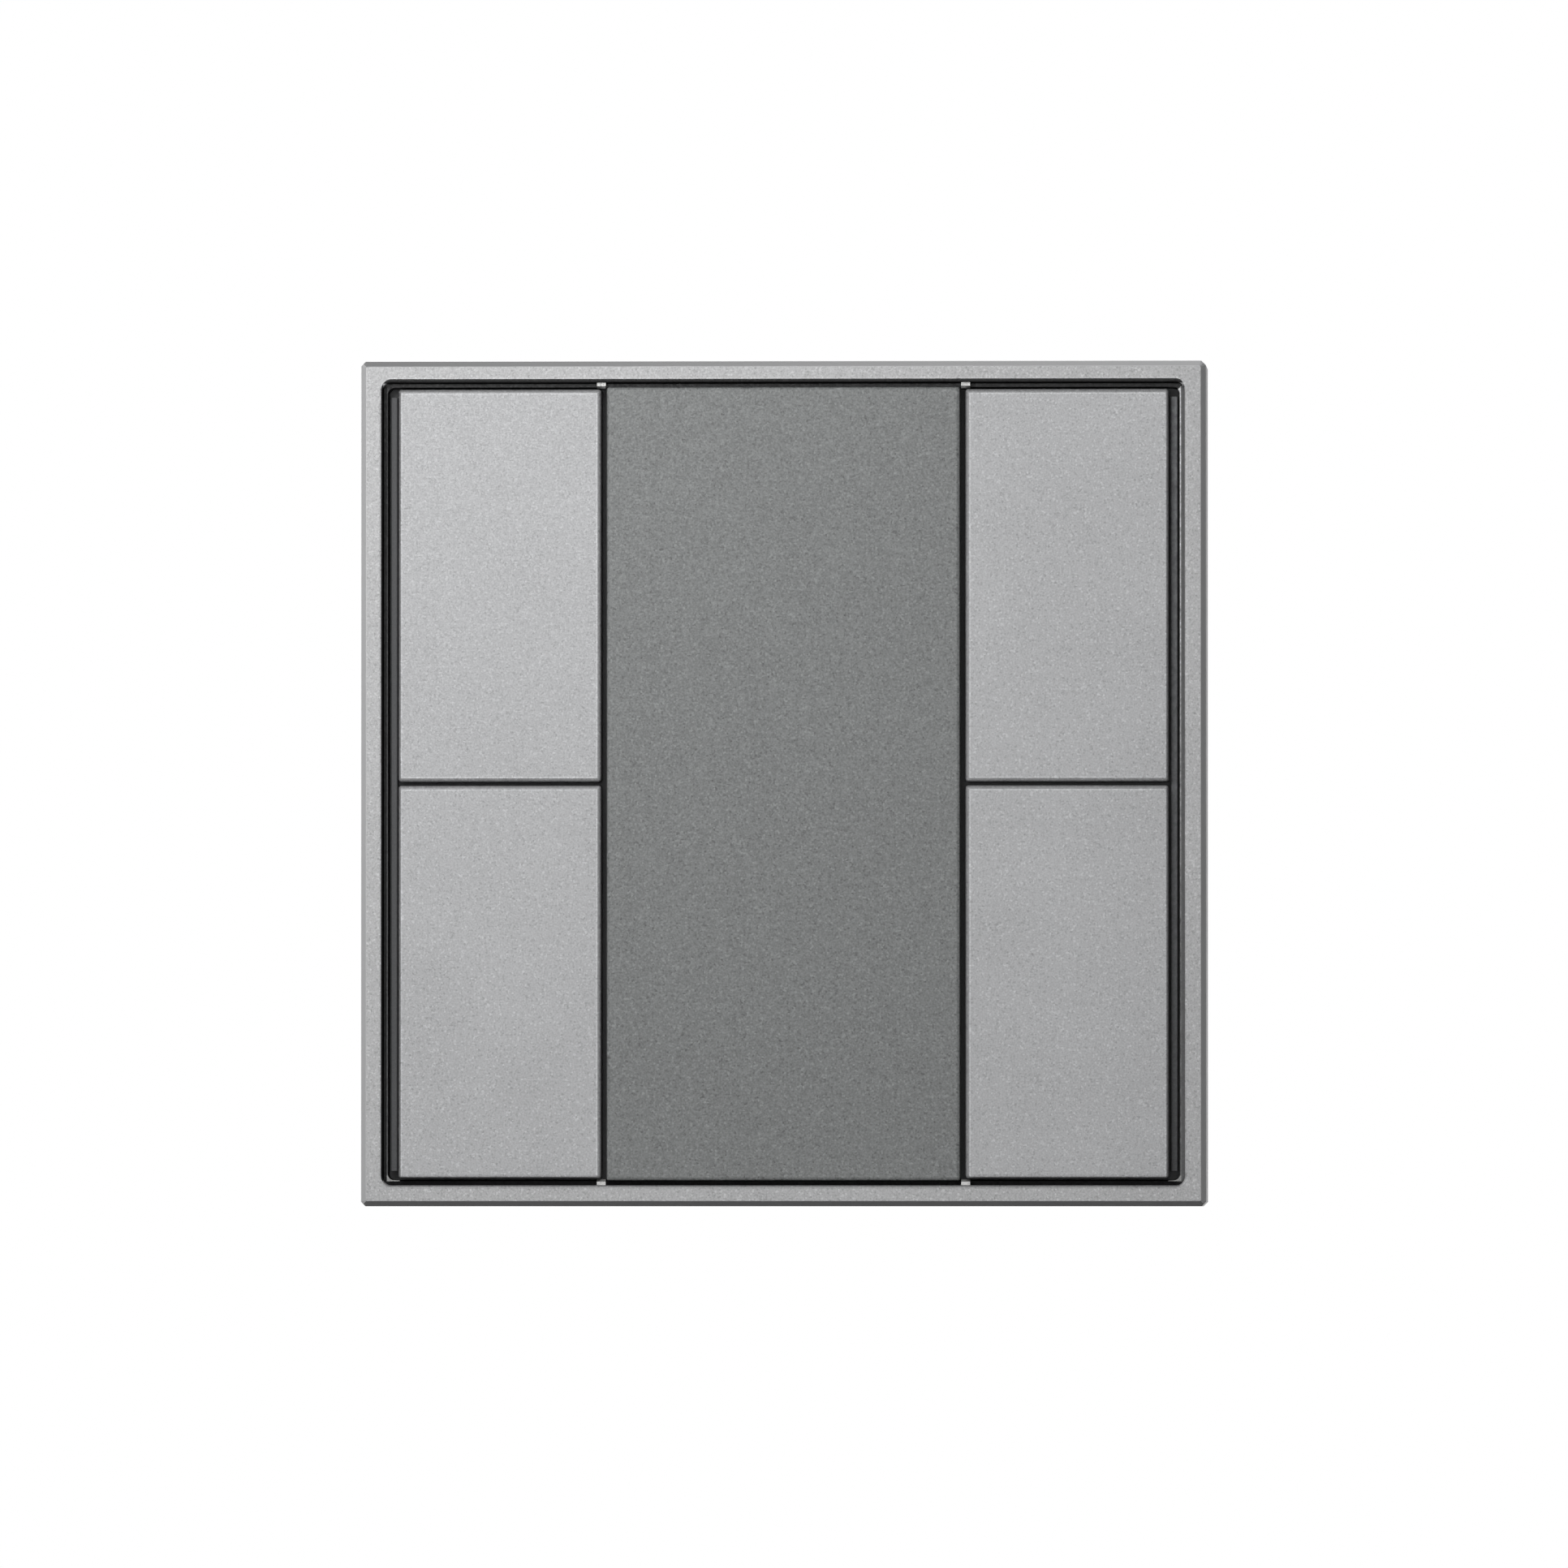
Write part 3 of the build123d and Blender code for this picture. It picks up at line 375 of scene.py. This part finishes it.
class Finish:
    """A material while its nodes are put together."""

    def __init__(self, name):
        self.material = bpy.data.materials.new(name)
        self.material.use_nodes = True
        self.tree = self.material.node_tree
        self.shader = self.tree.nodes["Principled BSDF"]
        self.place = self.add("ShaderNodeTexCoord", output="Object")

    def add(self, kind, settings=None, sockets=None, output=0):
        """Adds a node: its settings first, then the values or links of its sockets."""
        node = self.tree.nodes.new(kind)
        for name, value in (settings or {}).items():
            setattr(node, name, value)
        entries = {socket.identifier: socket for socket in node.inputs}
        for name, value in (sockets or {}).items():
            feed(self.tree, entries[name], value)
        results = {socket.identifier: socket for socket in node.outputs}
        return Field(self.tree, results.get(output) or node.outputs[output])

    def surface(self, sockets):
        """Sets or links sockets of the surface shader."""
        for name, value in sockets.items():
            feed(self.tree, self.shader.inputs[name], value)

    def axes(self):
        """The place on the surface: across, into and up the wall."""
        sockets = {"Vector": self.place}
        return [self.add("ShaderNodeSeparateXYZ", sockets=sockets, output=axis) for axis in "XYZ"]

    def noise(self, grain, grade=SOFT, vector=None):
        """Smooth noise about nought."""
        detail, roughness = grade
        sockets = {
            "Vector": vector or self.place,
            "Scale": 1 / grain,
            "Detail": detail,
            "Roughness": roughness,
        }
        return self.add("ShaderNodeTexNoise", {"noise_dimensions": "3D"}, sockets, "Fac") - AVERAGE

    def cells(self, grain):
        """Cells that each have one value about nought."""
        sockets = {"Vector": self.place, "Scale": 1 / grain}
        colour = self.add("ShaderNodeTexVoronoi", {"feature": "F1"}, sockets, "Color")
        return self.add("ShaderNodeSeparateColor", sockets={"Color": colour}, output="Red") - AVERAGE

    def tinted(self, colour, level):
        """A colour made lighter or darker by a level."""
        sockets = {"Vector": tuple(colour), "Scale": level}
        return self.add("ShaderNodeVectorMath", {"operation": "SCALE"}, sockets)

    def mixed(self, mask, under, over):
        """One colour over another where the mask is one."""
        sockets = {"Factor_Float": mask, "A_Color": under, "B_Color": (*over, 1.0)}
        return self.add("ShaderNodeMix", {"data_type": "RGBA"}, sockets, "Result_Color")

    def bump(self, height, distance):
        """A normal that follows a height."""
        sockets = {"Height": height, "Distance": distance, "Strength": 1.0}
        return self.add("ShaderNodeBump", sockets=sockets, output="Normal")


def dress(finish, *nodes):
    """Puts a finish on CAD nodes, in all of their material slots."""
    for node in nodes:
        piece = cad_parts[node]
        for entry in piece.material_slots:
            entry.material = finish.material


def metallic_paint(name, grain, settings):
    """Fine metallic paint: light and dark flakes, and soft patches where it lies uneven."""
    finish = Finish(name)
    flakes = finish.noise(settings.flake_size, FINE)
    specks = finish.cells(settings.flake_size)
    patches = finish.noise(settings.cloud_size)
    bright = settings.bright_speck * (specks > settings.speck_limit)
    dark = settings.dark_speck * (specks < -settings.speck_limit)
    finish.surface({
        "Metallic": settings.metal,
        "Roughness": settings.roughness + settings.speck_gloss * specks + settings.cloud_gloss * patches,
        "Normal": finish.bump(flakes + settings.speck_height * specks, settings.flake_depth),
    })
    return finish, 1 + grain * (flakes + bright - dark) + settings.cloud * patches


def paint_face(name, colour, grain, rims, settings, box):
    """Paint on a flat face, with painted shade along its edges and down its sides into the gaps, and a
    painted highlight beside its edges.
    """
    finish, level = metallic_paint(name, grain, settings)
    across, out, up = finish.axes()
    low, high = box
    rim, outer_rim, lower_rim = rims
    # Painted shade along the edges, narrower at the lower ends and the outer sides of the buttons, and a
    # painted highlight beside it
    ends = high.z - abs(up) + (rim - lower_rim) * (up < 0.0)
    inset = (abs(across) - low.x) & ends & (abs(up) - low.z)
    outer_inset = high.x - abs(across)
    shadowed = (inset < rim) | (outer_inset < outer_rim)
    bead = ((inset < rim + settings.bead) | (outer_inset < outer_rim + settings.bead)) * (1 - shadowed)
    # Painted shade down the sides, in the gaps between the parts
    gap_shade = (out > low.y + settings.edge) * (outer_inset > settings.gap_shade_start)
    level = level * (1 + settings.highlight_gain * bead)
    level = level * (1 - (1 - settings.edge_shade_level) * shadowed) * (1 - (1 - settings.gap_shade_level) * gap_shade)
    finish.surface({"Base Color": finish.tinted(colour, level)})
    return finish


def moulded_plastic(name, colour, grain=0.12 * MM, roughness=0.5, contrast=0.10, depth=0.010 * MM):
    """Moulded plastic with a finely eroded surface."""
    finish = Finish(name)
    texture = finish.noise(grain, FINE)
    patches = finish.noise(PATCH_GRAINS * grain)
    finish.surface({
        "Base Color": finish.tinted(colour, 1 + contrast * texture + contrast * patches),
        "Roughness": roughness + GRAIN_GLOSS * texture + PATCH_GLOSS * patches,
        "Normal": finish.bump(texture, depth),
    })
    return finish


def plated_metal(name, colour, roughness=0.3, along=(1.0, 1.0, 1.0)):
    """Plated metal with fine drawn lines and a slightly uneven plating."""
    finish = Finish(name)
    sockets = {"Vector": finish.place, "Scale": along}
    stretched = finish.add("ShaderNodeMapping", sockets=sockets, output="Vector")
    lines = finish.noise(LINE_PITCH, FINE, stretched)
    patches = finish.noise(PLATING_PATCH, FINE)
    finish.surface({
        "Base Color": finish.tinted(colour, 1 + LINE_TONE * lines + PLATING_TONE * patches),
        "Metallic": 1.0,
        "Roughness": roughness + LINE_GLOSS * lines + PLATING_GLOSS * patches,
        "Normal": finish.bump(lines, LINE_DEPTH),
    })
    return finish


class SWITCH_OT_frame(bpy.types.Operator):
    """Paints the outer frame silver and its key tabs dull"""

    bl_idname = "switch.frame"
    bl_label = "Outer frame"

    def execute(self, context):
        front = context.scene.switch_front
        finish, level = metallic_paint("frame_paint", front.frame_grain, front)
        across, out, up = finish.axes()
        outwards = abs(across) | abs(up)
        depth = out - FRAME_LOW.y
        left = -across > abs(up)
        right = across > abs(up)
        above = up > abs(across)
        below = -up > abs(across)

        # The bevel, with painted light and shade: a lighter or darker tone for each side
        bevel = (outwards > FRAME_HIGH.x - BEVEL_ACROSS * front.bevel) * (depth < BEVEL_DOWN * front.bevel)
        side_shading = front.left_bevel * left + front.right_bevel * right + front.lower_bevel * below
        side_shading = side_shading + front.upper_bevel * above * (1 + front.upper_turn * across / FRAME_HIGH.x)
        level = level * (1 - bevel) + side_shading * bevel

        # The wall of the opening and the lip inside it: painted shade, with painted highlights on the lip at
        # the right and on its edge at the left
        opening = FRAME_HIGH.x - front.border
        inside = (outwards < opening + SLACK) * (depth > front.opening_edge)
        lip = (outwards < opening - front.lip_reach) * (depth < front.lip_depth + WIDE_SLACK) * inside
        shelf = (depth > front.lip_depth - WIDE_SLACK) * (1 - right)
        highlighted = (front.highlight_level + front.highlight_rise * up / opening) | front.highlight_least
        highlighted = highlighted * (1 + front.sheen_grain * finish.noise(front.sheen_size, FINE))
        wall = front.wall_level * (1 - lip * right) + highlighted * lip * right
        left_lip = front.left_lip * (1 - lip) + (front.left_sheen - front.left_rise * up / opening) * lip
        lip_level = front.lip_level * (1 - left) + left_lip * left
        level = level * (1 - inside) + level * inside * (wall * (1 - shelf) + lip_level * shelf)

        # The edge of the opening: painted shade below, and a painted dark shade on the left and above with a
        # painted highlight beside it
        straight = opening - front.opening_corner
        sideways = (abs(across) - straight) | 0.0
        upwards = (abs(up) - straight) | 0.0
        spread = sideways * sideways + upwards * upwards
        tilt = upwards * upwards / (spread | TINY)
        outside = ((spread.root() - front.opening_corner) / front.lower_edge | 0.0) & 1.0
        level = level * (1 - front.lower_shade * (up < 0.0) * tilt * (1 - outside))
        edge = front.left_edge * (across < 0.0) * (1 - tilt) + front.upper_edge * (up > 0.0) * tilt
        reach = front.opening_corner + edge
        dark = (spread < reach * reach) * (edge > LEAST_EDGE) * (outwards > opening - WIDE_SLACK)
        highlight_reach = reach + front.bead
        bead = (spread < highlight_reach * highlight_reach) * (1 - dark) * (depth < front.opening_edge)
        level = level * (1 - (1 - front.edge_level) * dark) * (1 + front.opening_highlight * bead)

        # The key tabs, and a painted glint at the lower corners of the lip
        tabs = (abs(abs(across) - CAP_LOW.x) < front.tab_reach) * (abs(up) < opening)
        tabs = tabs * (depth > front.opening_edge) * (depth < front.lip_depth - SLACK)
        low_corners = (abs(across) > opening - front.glint_width) * (up < front.glint_height - opening)
        glinting = tabs | front.glint * lip * low_corners
        # Tabs and the painted glints take the tab colour; the painted dark edges and the lip's shelf are
        # metallic too
        finish.surface({
            "Base Color": finish.mixed(glinting, finish.tinted(front.frame_colour, level), front.tab_colour),
            "Metallic": glinting | dark | inside * shelf | front.metal,
        })
        dress(finish, "outer_frame")
        return {"FINISHED"}


class SWITCH_OT_buttons(bpy.types.Operator):
    """Paints the four buttons light grey"""

    bl_idname = "switch.buttons"
    bl_label = "Buttons"

    def execute(self, context):
        front = context.scene.switch_front
        box = CAP_LOW, CAP_HIGH
        rims = front.button_rim, front.outer_rim, front.lower_rim
        finish = paint_face("button_paint", front.button_colour, front.button_grain, rims, front, box)
        dress(finish, *(name + "_button" for name in BUTTONS))
        return {"FINISHED"}


class SWITCH_OT_panel(bpy.types.Operator):
    """Paints the middle panel dark grey"""

    bl_idname = "switch.panel"
    bl_label = "Middle panel"

    def execute(self, context):
        front = context.scene.switch_front
        box = PANEL_LOW, PANEL_HIGH
        rims = front.panel_rim, front.panel_rim, front.panel_rim
        finish = paint_face("panel_paint", front.panel_colour, front.panel_grain, rims, front, box)
        dress(finish, "middle_panel")
        return {"FINISHED"}


class SWITCH_OT_carrier(bpy.types.Operator):
    """Gives the button carrier its dark, speckled plastic"""

    bl_idname = "switch.carrier"
    bl_label = "Button carrier"

    def execute(self, context):
        back = context.scene.switch_back
        finish = Finish("carrier_plastic")
        across, out, up = finish.axes()
        texture = finish.noise(back.carrier_grain, FINE)
        # Painted light on the right ledge, lighter towards its upper end, with dust specks in it
        ledge = (out < CARRIER_LOW.y + back.lit_ledge_depth) * (across > 0.0)
        dust_and_light = ledge * (back.ledge_light + back.ledge_light_rise * up / CARRIER_HIGH.z)
        dust_and_light = dust_and_light * (1 + back.lit_speck_grain * finish.noise(back.lit_speck_size, FINE))
        level = (1 + back.carrier_contrast * texture) * (1 + dust_and_light)
        finish.surface({
            "Base Color": finish.tinted(back.carrier_colour, level),
            "Specular IOR Level": back.carrier_shine,
            "Roughness": back.carrier_roughness + GRAIN_GLOSS * texture,
            "Normal": finish.bump(texture, back.carrier_depth),
        })
        dress(finish, "button_carrier")
        return {"FINISHED"}


class SWITCH_OT_plate(bpy.types.Operator):
    """Gives the mounting plate its zinc plating"""

    bl_idname = "switch.plate"
    bl_label = "Mounting plate"

    def execute(self, context):
        back = context.scene.switch_back
        zinc = plated_metal("zinc_plate", back.plate_colour, roughness=0.36, along=(0.06, 1.0, 1.0))
        dress(zinc, "mounting_plate")
        return {"FINISHED"}


class SWITCH_OT_housing(bpy.types.Operator):
    """Gives the rear housing its light grey, eroded plastic"""

    bl_idname = "switch.housing"
    bl_label = "Rear housing"

    def execute(self, context):
        back = context.scene.switch_back
        plastic = moulded_plastic(
            "housing_plastic", back.housing_colour, grain=0.25 * MM, contrast=0.08, depth=0.02 * MM
        )
        dress(plastic, "rear_housing")
        return {"FINISHED"}


class SWITCH_OT_boards(bpy.types.Operator):
    """Gives both circuit boards their solder mask, with the tracks showing through"""

    bl_idname = "switch.boards"
    bl_label = "Circuit boards"

    def execute(self, context):
        back = context.scene.switch_back
        finish = Finish("solder_mask")
        fields = finish.noise(BARE_SIZE, SMOOTH)
        tracks = finish.add(
            "ShaderNodeTexWave",
            {"wave_type": "BANDS", "bands_direction": "DIAGONAL", "wave_profile": "TRI"},
            {
                "Vector": finish.place,
                "Scale": TRACK_SCALE,
                "Distortion": TRACK_BEND,
                "Detail": 0.0,
                "Detail Scale": TRACK_BEND_SCALE,
            },
            "Fac",
        )
        copper = (tracks > TRACK_LIMIT) * (fields > BARE_LIMIT)
        level = 1 + TRACK_TONE * copper + MASK_TONE * finish.noise(MASK_GRAIN)
        finish.surface({
            "Base Color": finish.tinted(back.board_colour, level),
            "Roughness": MASK_ROUGHNESS + TRACK_GLOSS * copper,
            "Normal": finish.bump(copper, TRACK_RISE),
        })
        dress(finish, "circuit_board", "coupler_board")
        return {"FINISHED"}


class SWITCH_OT_tactile_switches(bpy.types.Operator):
    """Dresses the tactile switches: bodies, steel covers and plungers"""

    bl_idname = "switch.tactile_switches"
    bl_label = "Tactile switches"

    def execute(self, context):
        back = context.scene.switch_back
        black = moulded_plastic("switch_black", back.black_colour, roughness=0.42)
        dress(black, "switch_bodies", "programming_switch", *(name + "_plunger" for name in BUTTONS))
        steel = plated_metal("cover_steel", back.nickel_colour, along=(0.1, 1.0, 1.0))
        dress(steel, "switch_covers")
        return {"FINISHED"}


class SWITCH_OT_contacts(bpy.types.Operator):
    """Dresses the plug-in link between the boards and the bus pins"""

    bl_idname = "switch.contacts"
    bl_label = "Link and pins"

    def execute(self, context):
        back = context.scene.switch_back
        black = moulded_plastic("link_black", back.black_colour, grain=0.1 * MM, roughness=0.55)
        dress(black, "board_socket", "board_header")
        brass = plated_metal("pin_brass", back.brass_colour, roughness=0.24, along=(1.0, 0.1, 1.0))
        dress(brass, "link_pins", "bus_pins")
        return {"FINISHED"}


class SWITCH_OT_components(bpy.types.Operator):
    """Dresses the screws, chips, choke and capacitor"""

    bl_idname = "switch.components"
    bl_label = "Screws and components"

    def execute(self, context):
        back = context.scene.switch_back
        steel = plated_metal("screw_steel", back.nickel_colour, roughness=0.28)
        dress(steel, "board_screws", "coupler_screws")
        compound = moulded_plastic("chip_compound", back.black_colour, grain=0.08 * MM, roughness=0.6)
        dress(compound, "control_chip", "bus_chip")
        ferrite = moulded_plastic(
            "choke_ferrite", back.choke_colour, grain=0.3 * MM, roughness=0.4, contrast=0.3
        )
        dress(ferrite, "bus_choke")
        can = plated_metal("capacitor_can", back.can_colour, roughness=0.26, along=(1.0, 0.1, 1.0))
        dress(can, "storage_capacitor")
        return {"FINISHED"}


class SWITCH_OT_programming(bpy.types.Operator):
    """Dresses the programming button, its lamp and the light pipe"""

    bl_idname = "switch.programming"
    bl_label = "Programming button and lamp"

    def execute(self, context):
        back = context.scene.switch_back
        red = moulded_plastic("program_red", back.program_colour, grain=0.15 * MM, roughness=0.38)
        dress(red, "programming_button")
        tint = moulded_plastic("lamp_tint", back.lamp_colour, grain=0.2 * MM, roughness=0.25)
        dress(tint, "programming_lamp")
        frost = moulded_plastic(
            "pipe_frost", back.pipe_colour, grain=0.15 * MM, roughness=0.35, contrast=0.05
        )
        frost.surface({"Transmission Weight": back.pipe_clearness, "IOR": ACRYLIC_IOR})
        dress(frost, "light_pipe")
        return {"FINISHED"}


def start_piece():
    """Deselects everything, so that only the next piece is shaped."""
    bpy.ops.object.select_all(action="DESELECT")


def pick(kind, test):
    """Selects the faces or the edges of the mesh being edited that pass a test."""
    data = bpy.context.object.data
    bpy.ops.mesh.select_mode(type=kind)
    bpy.ops.mesh.select_all(action="DESELECT")
    bpy.ops.object.mode_set(mode="OBJECT")
    for part in data.polygons if kind == "FACE" else data.edges:
        part.select = test(part, data.vertices)
    bpy.ops.object.mode_set(mode="EDIT")


def finish_piece(name, edge):
    """Rounds the outer edges of the mesh being edited and settles it on the housing."""
    bpy.ops.mesh.select_all(action="SELECT")
    bpy.ops.mesh.remove_doubles(threshold=MERGE)
    bpy.ops.mesh.normals_make_consistent(inside=False)
    bpy.ops.object.mode_set(mode="OBJECT")
    piece = bpy.context.object
    piece.name = name
    piece.data.name = name
    bpy.ops.object.transform_apply(location=True, rotation=True, scale=True)
    rounding = piece.modifiers.new("rounding", "BEVEL")
    rounding.width = edge
    rounding.segments = ROUNDING_STEPS
    rounding.limit_method = "ANGLE"
    bpy.ops.object.modifier_apply(modifier=rounding.name)
    bpy.ops.object.shade_smooth_by_angle(angle=SMOOTH_ANGLE)
    piece.data.materials.append(bpy.data.materials["housing_plastic"])
    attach(piece, "base")


class SWITCH_OT_pole_marks(bpy.types.Operator):
    """Models the raised plus and minus beside the bus pocket"""

    bl_idname = "switch.pole_marks"
    bl_label = "Pole marks"

    def execute(self, context):
        marks = context.scene.switch_marks
        level = (PINS_LOW.z + PINS_HIGH.z) / 2

        def all_round(face, points):
            return abs(face.normal.y) < FACING

        def both_ends(face, points):
            return abs(face.normal.x) > FACING

        for side, name, arms in ((1, "plus_mark", all_round), (-1, "minus_mark", both_ends)):
            start_piece()
            place = (side * marks.offset, HOUSING_HIGH.y, level)
            bpy.ops.mesh.primitive_cube_add(size=marks.stroke, location=place)
            bpy.ops.object.mode_set(mode="EDIT")
            bpy.ops.transform.resize(value=(1.0, 2 * marks.rise / marks.stroke, 1.0))
            pick("FACE", arms)
            bpy.ops.mesh.extrude_faces_move(TRANSFORM_OT_shrink_fatten={"value": marks.arm})
            finish_piece(name, marks.edge)
        return {"FINISHED"}


class SWITCH_OT_up_arrow(bpy.types.Operator):
    """Models the raised arrow that points up the wall"""

    bl_idname = "switch.up_arrow"
    bl_label = "Up arrow"

    def execute(self, context):
        marks = context.scene.switch_marks
        half = marks.arrow_height / 2
        start_piece()
        place = (0.0, HOUSING_HIGH.y - marks.rise, marks.arrow_level - half / 2)
        bpy.ops.mesh.primitive_plane_add(size=marks.stroke, location=place, rotation=(QUARTER_TURN, 0, 0))
        bpy.ops.object.transform_apply(location=True, rotation=True)
        bpy.ops.object.mode_set(mode="EDIT")
        bpy.ops.transform.resize(value=(1.0, 1.0, half / marks.stroke))
        neck = marks.arrow_level

        def on_top(edge, points):
            return min(points[end].co.z for end in edge.vertices) > neck - NEAR

        pick("EDGE", on_top)
        bpy.ops.mesh.extrude_region_move(TRANSFORM_OT_translate={"value": (0, 0, 0)})
        bpy.ops.transform.resize(value=(marks.arrow_head, 1.0, 1.0))
        bpy.ops.mesh.extrude_region_move(TRANSFORM_OT_translate={"value": (0, 0, half)})
        bpy.ops.transform.resize(value=(0.0, 1.0, 1.0))
        bpy.ops.mesh.select_all(action="SELECT")
        bpy.ops.mesh.remove_doubles(threshold=MERGE)
        bpy.ops.mesh.select_all(action="SELECT")
        bpy.ops.mesh.extrude_region_move(TRANSFORM_OT_translate={"value": (0, 2 * marks.rise, 0)})
        finish_piece("up_arrow", marks.edge)
        return {"FINISHED"}


class SWITCH_OT_rims(bpy.types.Operator):
    """Models the raised rims round the programming button and the light pipe"""

    bl_idname = "switch.rims"
    bl_label = "Rims"

    def execute(self, context):
        marks = context.scene.switch_marks
        holes = (
            ("button_rim", PROGRAM_LOW, PROGRAM_HIGH, marks.button_hole),
            ("lamp_rim", PIPE_LOW, PIPE_HIGH, marks.pipe_hole),
        )
        for name, low, high, hole in holes:
            start_piece()
            middle = (low + high) / 2
            inner = hole + marks.rim_gap
            place = (middle.x, HOUSING_HIGH.y - marks.rise, middle.z)
            bpy.ops.mesh.primitive_circle_add(
                vertices=RIM_SIDES, radius=inner, location=place, rotation=(QUARTER_TURN, 0, 0)
            )
            bpy.ops.object.mode_set(mode="EDIT")
            bpy.ops.mesh.select_all(action="SELECT")
            outer = 1 + marks.rim_width / inner
            bpy.ops.mesh.extrude_region_move(TRANSFORM_OT_translate={"value": (0, 0, 0)})
            bpy.ops.transform.resize(value=(outer, 1.0, outer), center_override=place)
            bpy.ops.mesh.select_all(action="SELECT")
            bpy.ops.mesh.extrude_region_move(TRANSFORM_OT_translate={"value": (0, 2 * marks.rise, 0)})
            finish_piece(name, marks.edge)
        return {"FINISHED"}


def seen_directly(tree):
    """One for what the camera sees, straight on, in a reflection or through glass."""
    path = tree.nodes.new("ShaderNodeLightPath")
    straight, reflected, through = (
        Field(tree, path.outputs[name]) for name in ("Is Camera Ray", "Is Glossy Ray", "Is Transmission Ray")
    )
    return straight | reflected | through


def lamp(name, place, spread, target, watts):
    """A soft box that looks at a point."""
    bpy.ops.object.light_add(type="AREA", location=place)
    light = bpy.context.object
    light.name = name
    light.rotation_euler = (target - Vector(place)).to_track_quat("-Z", "Y").to_euler()
    light.data.shape = "RECTANGLE"
    light.data.size, light.data.size_y = spread
    light.data.energy = watts


class SWITCH_OT_stage(bpy.types.Operator):
    """Sets the floor, the soft boxes, the white surroundings and the camera"""

    bl_idname = "switch.stage"
    bl_label = "Studio"

    def execute(self, context):
        studio = context.scene.switch_studio
        face = Vector((0.0, FRAME_LOW.y, 0.0))
        start_piece()
        bpy.ops.mesh.primitive_plane_add(size=FLOOR_SIDE, location=(0, 0, FRAME_LOW.z - studio.floor_drop))
        floor = bpy.context.object
        floor.name = "floor"
        cover = Finish("floor_paper")
        seen = seen_directly(cover.tree)
        texture = 1 + PAPER_TONE * cover.noise(PAPER_GRAIN)
        level = texture * (studio.floor_bounce + (1 - studio.floor_bounce) * seen)
        cover.surface({
            "Base Color": cover.tinted(studio.floor_colour, level),
            "Emission Color": cover.tinted(studio.floor_colour, studio.floor_glow * seen),
            "Emission Strength": 1.0,
            "Roughness": PAPER_ROUGHNESS,
        })
        floor.data.materials.append(cover.material)

        lamp("key_light", KEY_PLACE, KEY_SIZE, face, studio.key_power)
        lamp("fill_light", FILL_PLACE, FILL_SIZE, face, studio.fill_power)
        lamp("back_light", BACK_PLACE, BACK_SIZE, face, studio.back_power)

        world = bpy.data.worlds.new("surroundings")
        world.use_nodes = True
        tree = world.node_tree
        background = tree.nodes["Background"]
        background.inputs["Color"].default_value = (1.0, 1.0, 1.0, 1.0)
        strength = studio.ambient + (1 - studio.ambient) * seen_directly(tree)
        feed(tree, background.inputs["Strength"], strength)
        context.scene.world = world

        sideways, drop = studio.from_right, -studio.from_below
        back = Vector((
            math.sin(sideways) * math.cos(drop), -math.cos(sideways) * math.cos(drop), math.sin(drop)
        ))
        target = face + Vector((studio.aside, 0.0, -studio.lower))
        bpy.ops.object.camera_add(location=target + back * studio.distance)
        camera = bpy.context.object
        camera.rotation_euler = (-back).to_track_quat("-Z", "Y").to_euler()
        camera.data.sensor_width = SENSOR_WIDTH
        camera.data.lens = SENSOR_WIDTH * studio.distance / studio.picture_width
        camera.data.clip_end = FARTHEST_SEEN
        context.scene.camera = camera
        context.scene.view_settings.view_transform = "Standard"
        return {"FINISHED"}


OPERATORS = (
    SWITCH_OT_stage,
    SWITCH_OT_frame,
    SWITCH_OT_buttons,
    SWITCH_OT_panel,
    SWITCH_OT_carrier,
    SWITCH_OT_plate,
    SWITCH_OT_housing,
    SWITCH_OT_boards,
    SWITCH_OT_tactile_switches,
    SWITCH_OT_contacts,
    SWITCH_OT_components,
    SWITCH_OT_programming,
    SWITCH_OT_pole_marks,
    SWITCH_OT_up_arrow,
    SWITCH_OT_rims,
)

SETTINGS = {
    "switch_front": FrontSettings,
    "switch_back": BackSettings,
    "switch_marks": MarkSettings,
    "switch_studio": StudioSettings,
}


class VIEW3D_PT_switch(bpy.types.Panel):
    """Lists the steps that dress the switch, and their settings"""

    bl_label = "Push button switch"
    bl_idname = "VIEW3D_PT_switch"
    bl_space_type = "VIEW_3D"
    bl_region_type = "UI"
    bl_category = "Switch"

    def draw(self, context):
        for operator in OPERATORS:
            self.layout.operator(operator.bl_idname)
        for name in SETTINGS:
            column = self.layout.column(align=True)
            group = getattr(context.scene, name)
            for entry in group.bl_rna.properties:
                if entry.identifier not in ("rna_type", "name"):
                    column.prop(group, entry.identifier)


def register():
    for kind in (*SETTINGS.values(), *OPERATORS, VIEW3D_PT_switch):
        bpy.utils.register_class(kind)
    for name, kind in SETTINGS.items():
        setattr(bpy.types.Scene, name, PointerProperty(type=kind))


def unregister():
    for name in SETTINGS:
        delattr(bpy.types.Scene, name)
    for kind in reversed((*SETTINGS.values(), *OPERATORS, VIEW3D_PT_switch)):
        bpy.utils.unregister_class(kind)


def main():
    register()
    for operator in OPERATORS:
        group, name = operator.bl_idname.split(".")
        getattr(getattr(bpy.ops, group), name)()


if __name__ == "__main__":
    main()
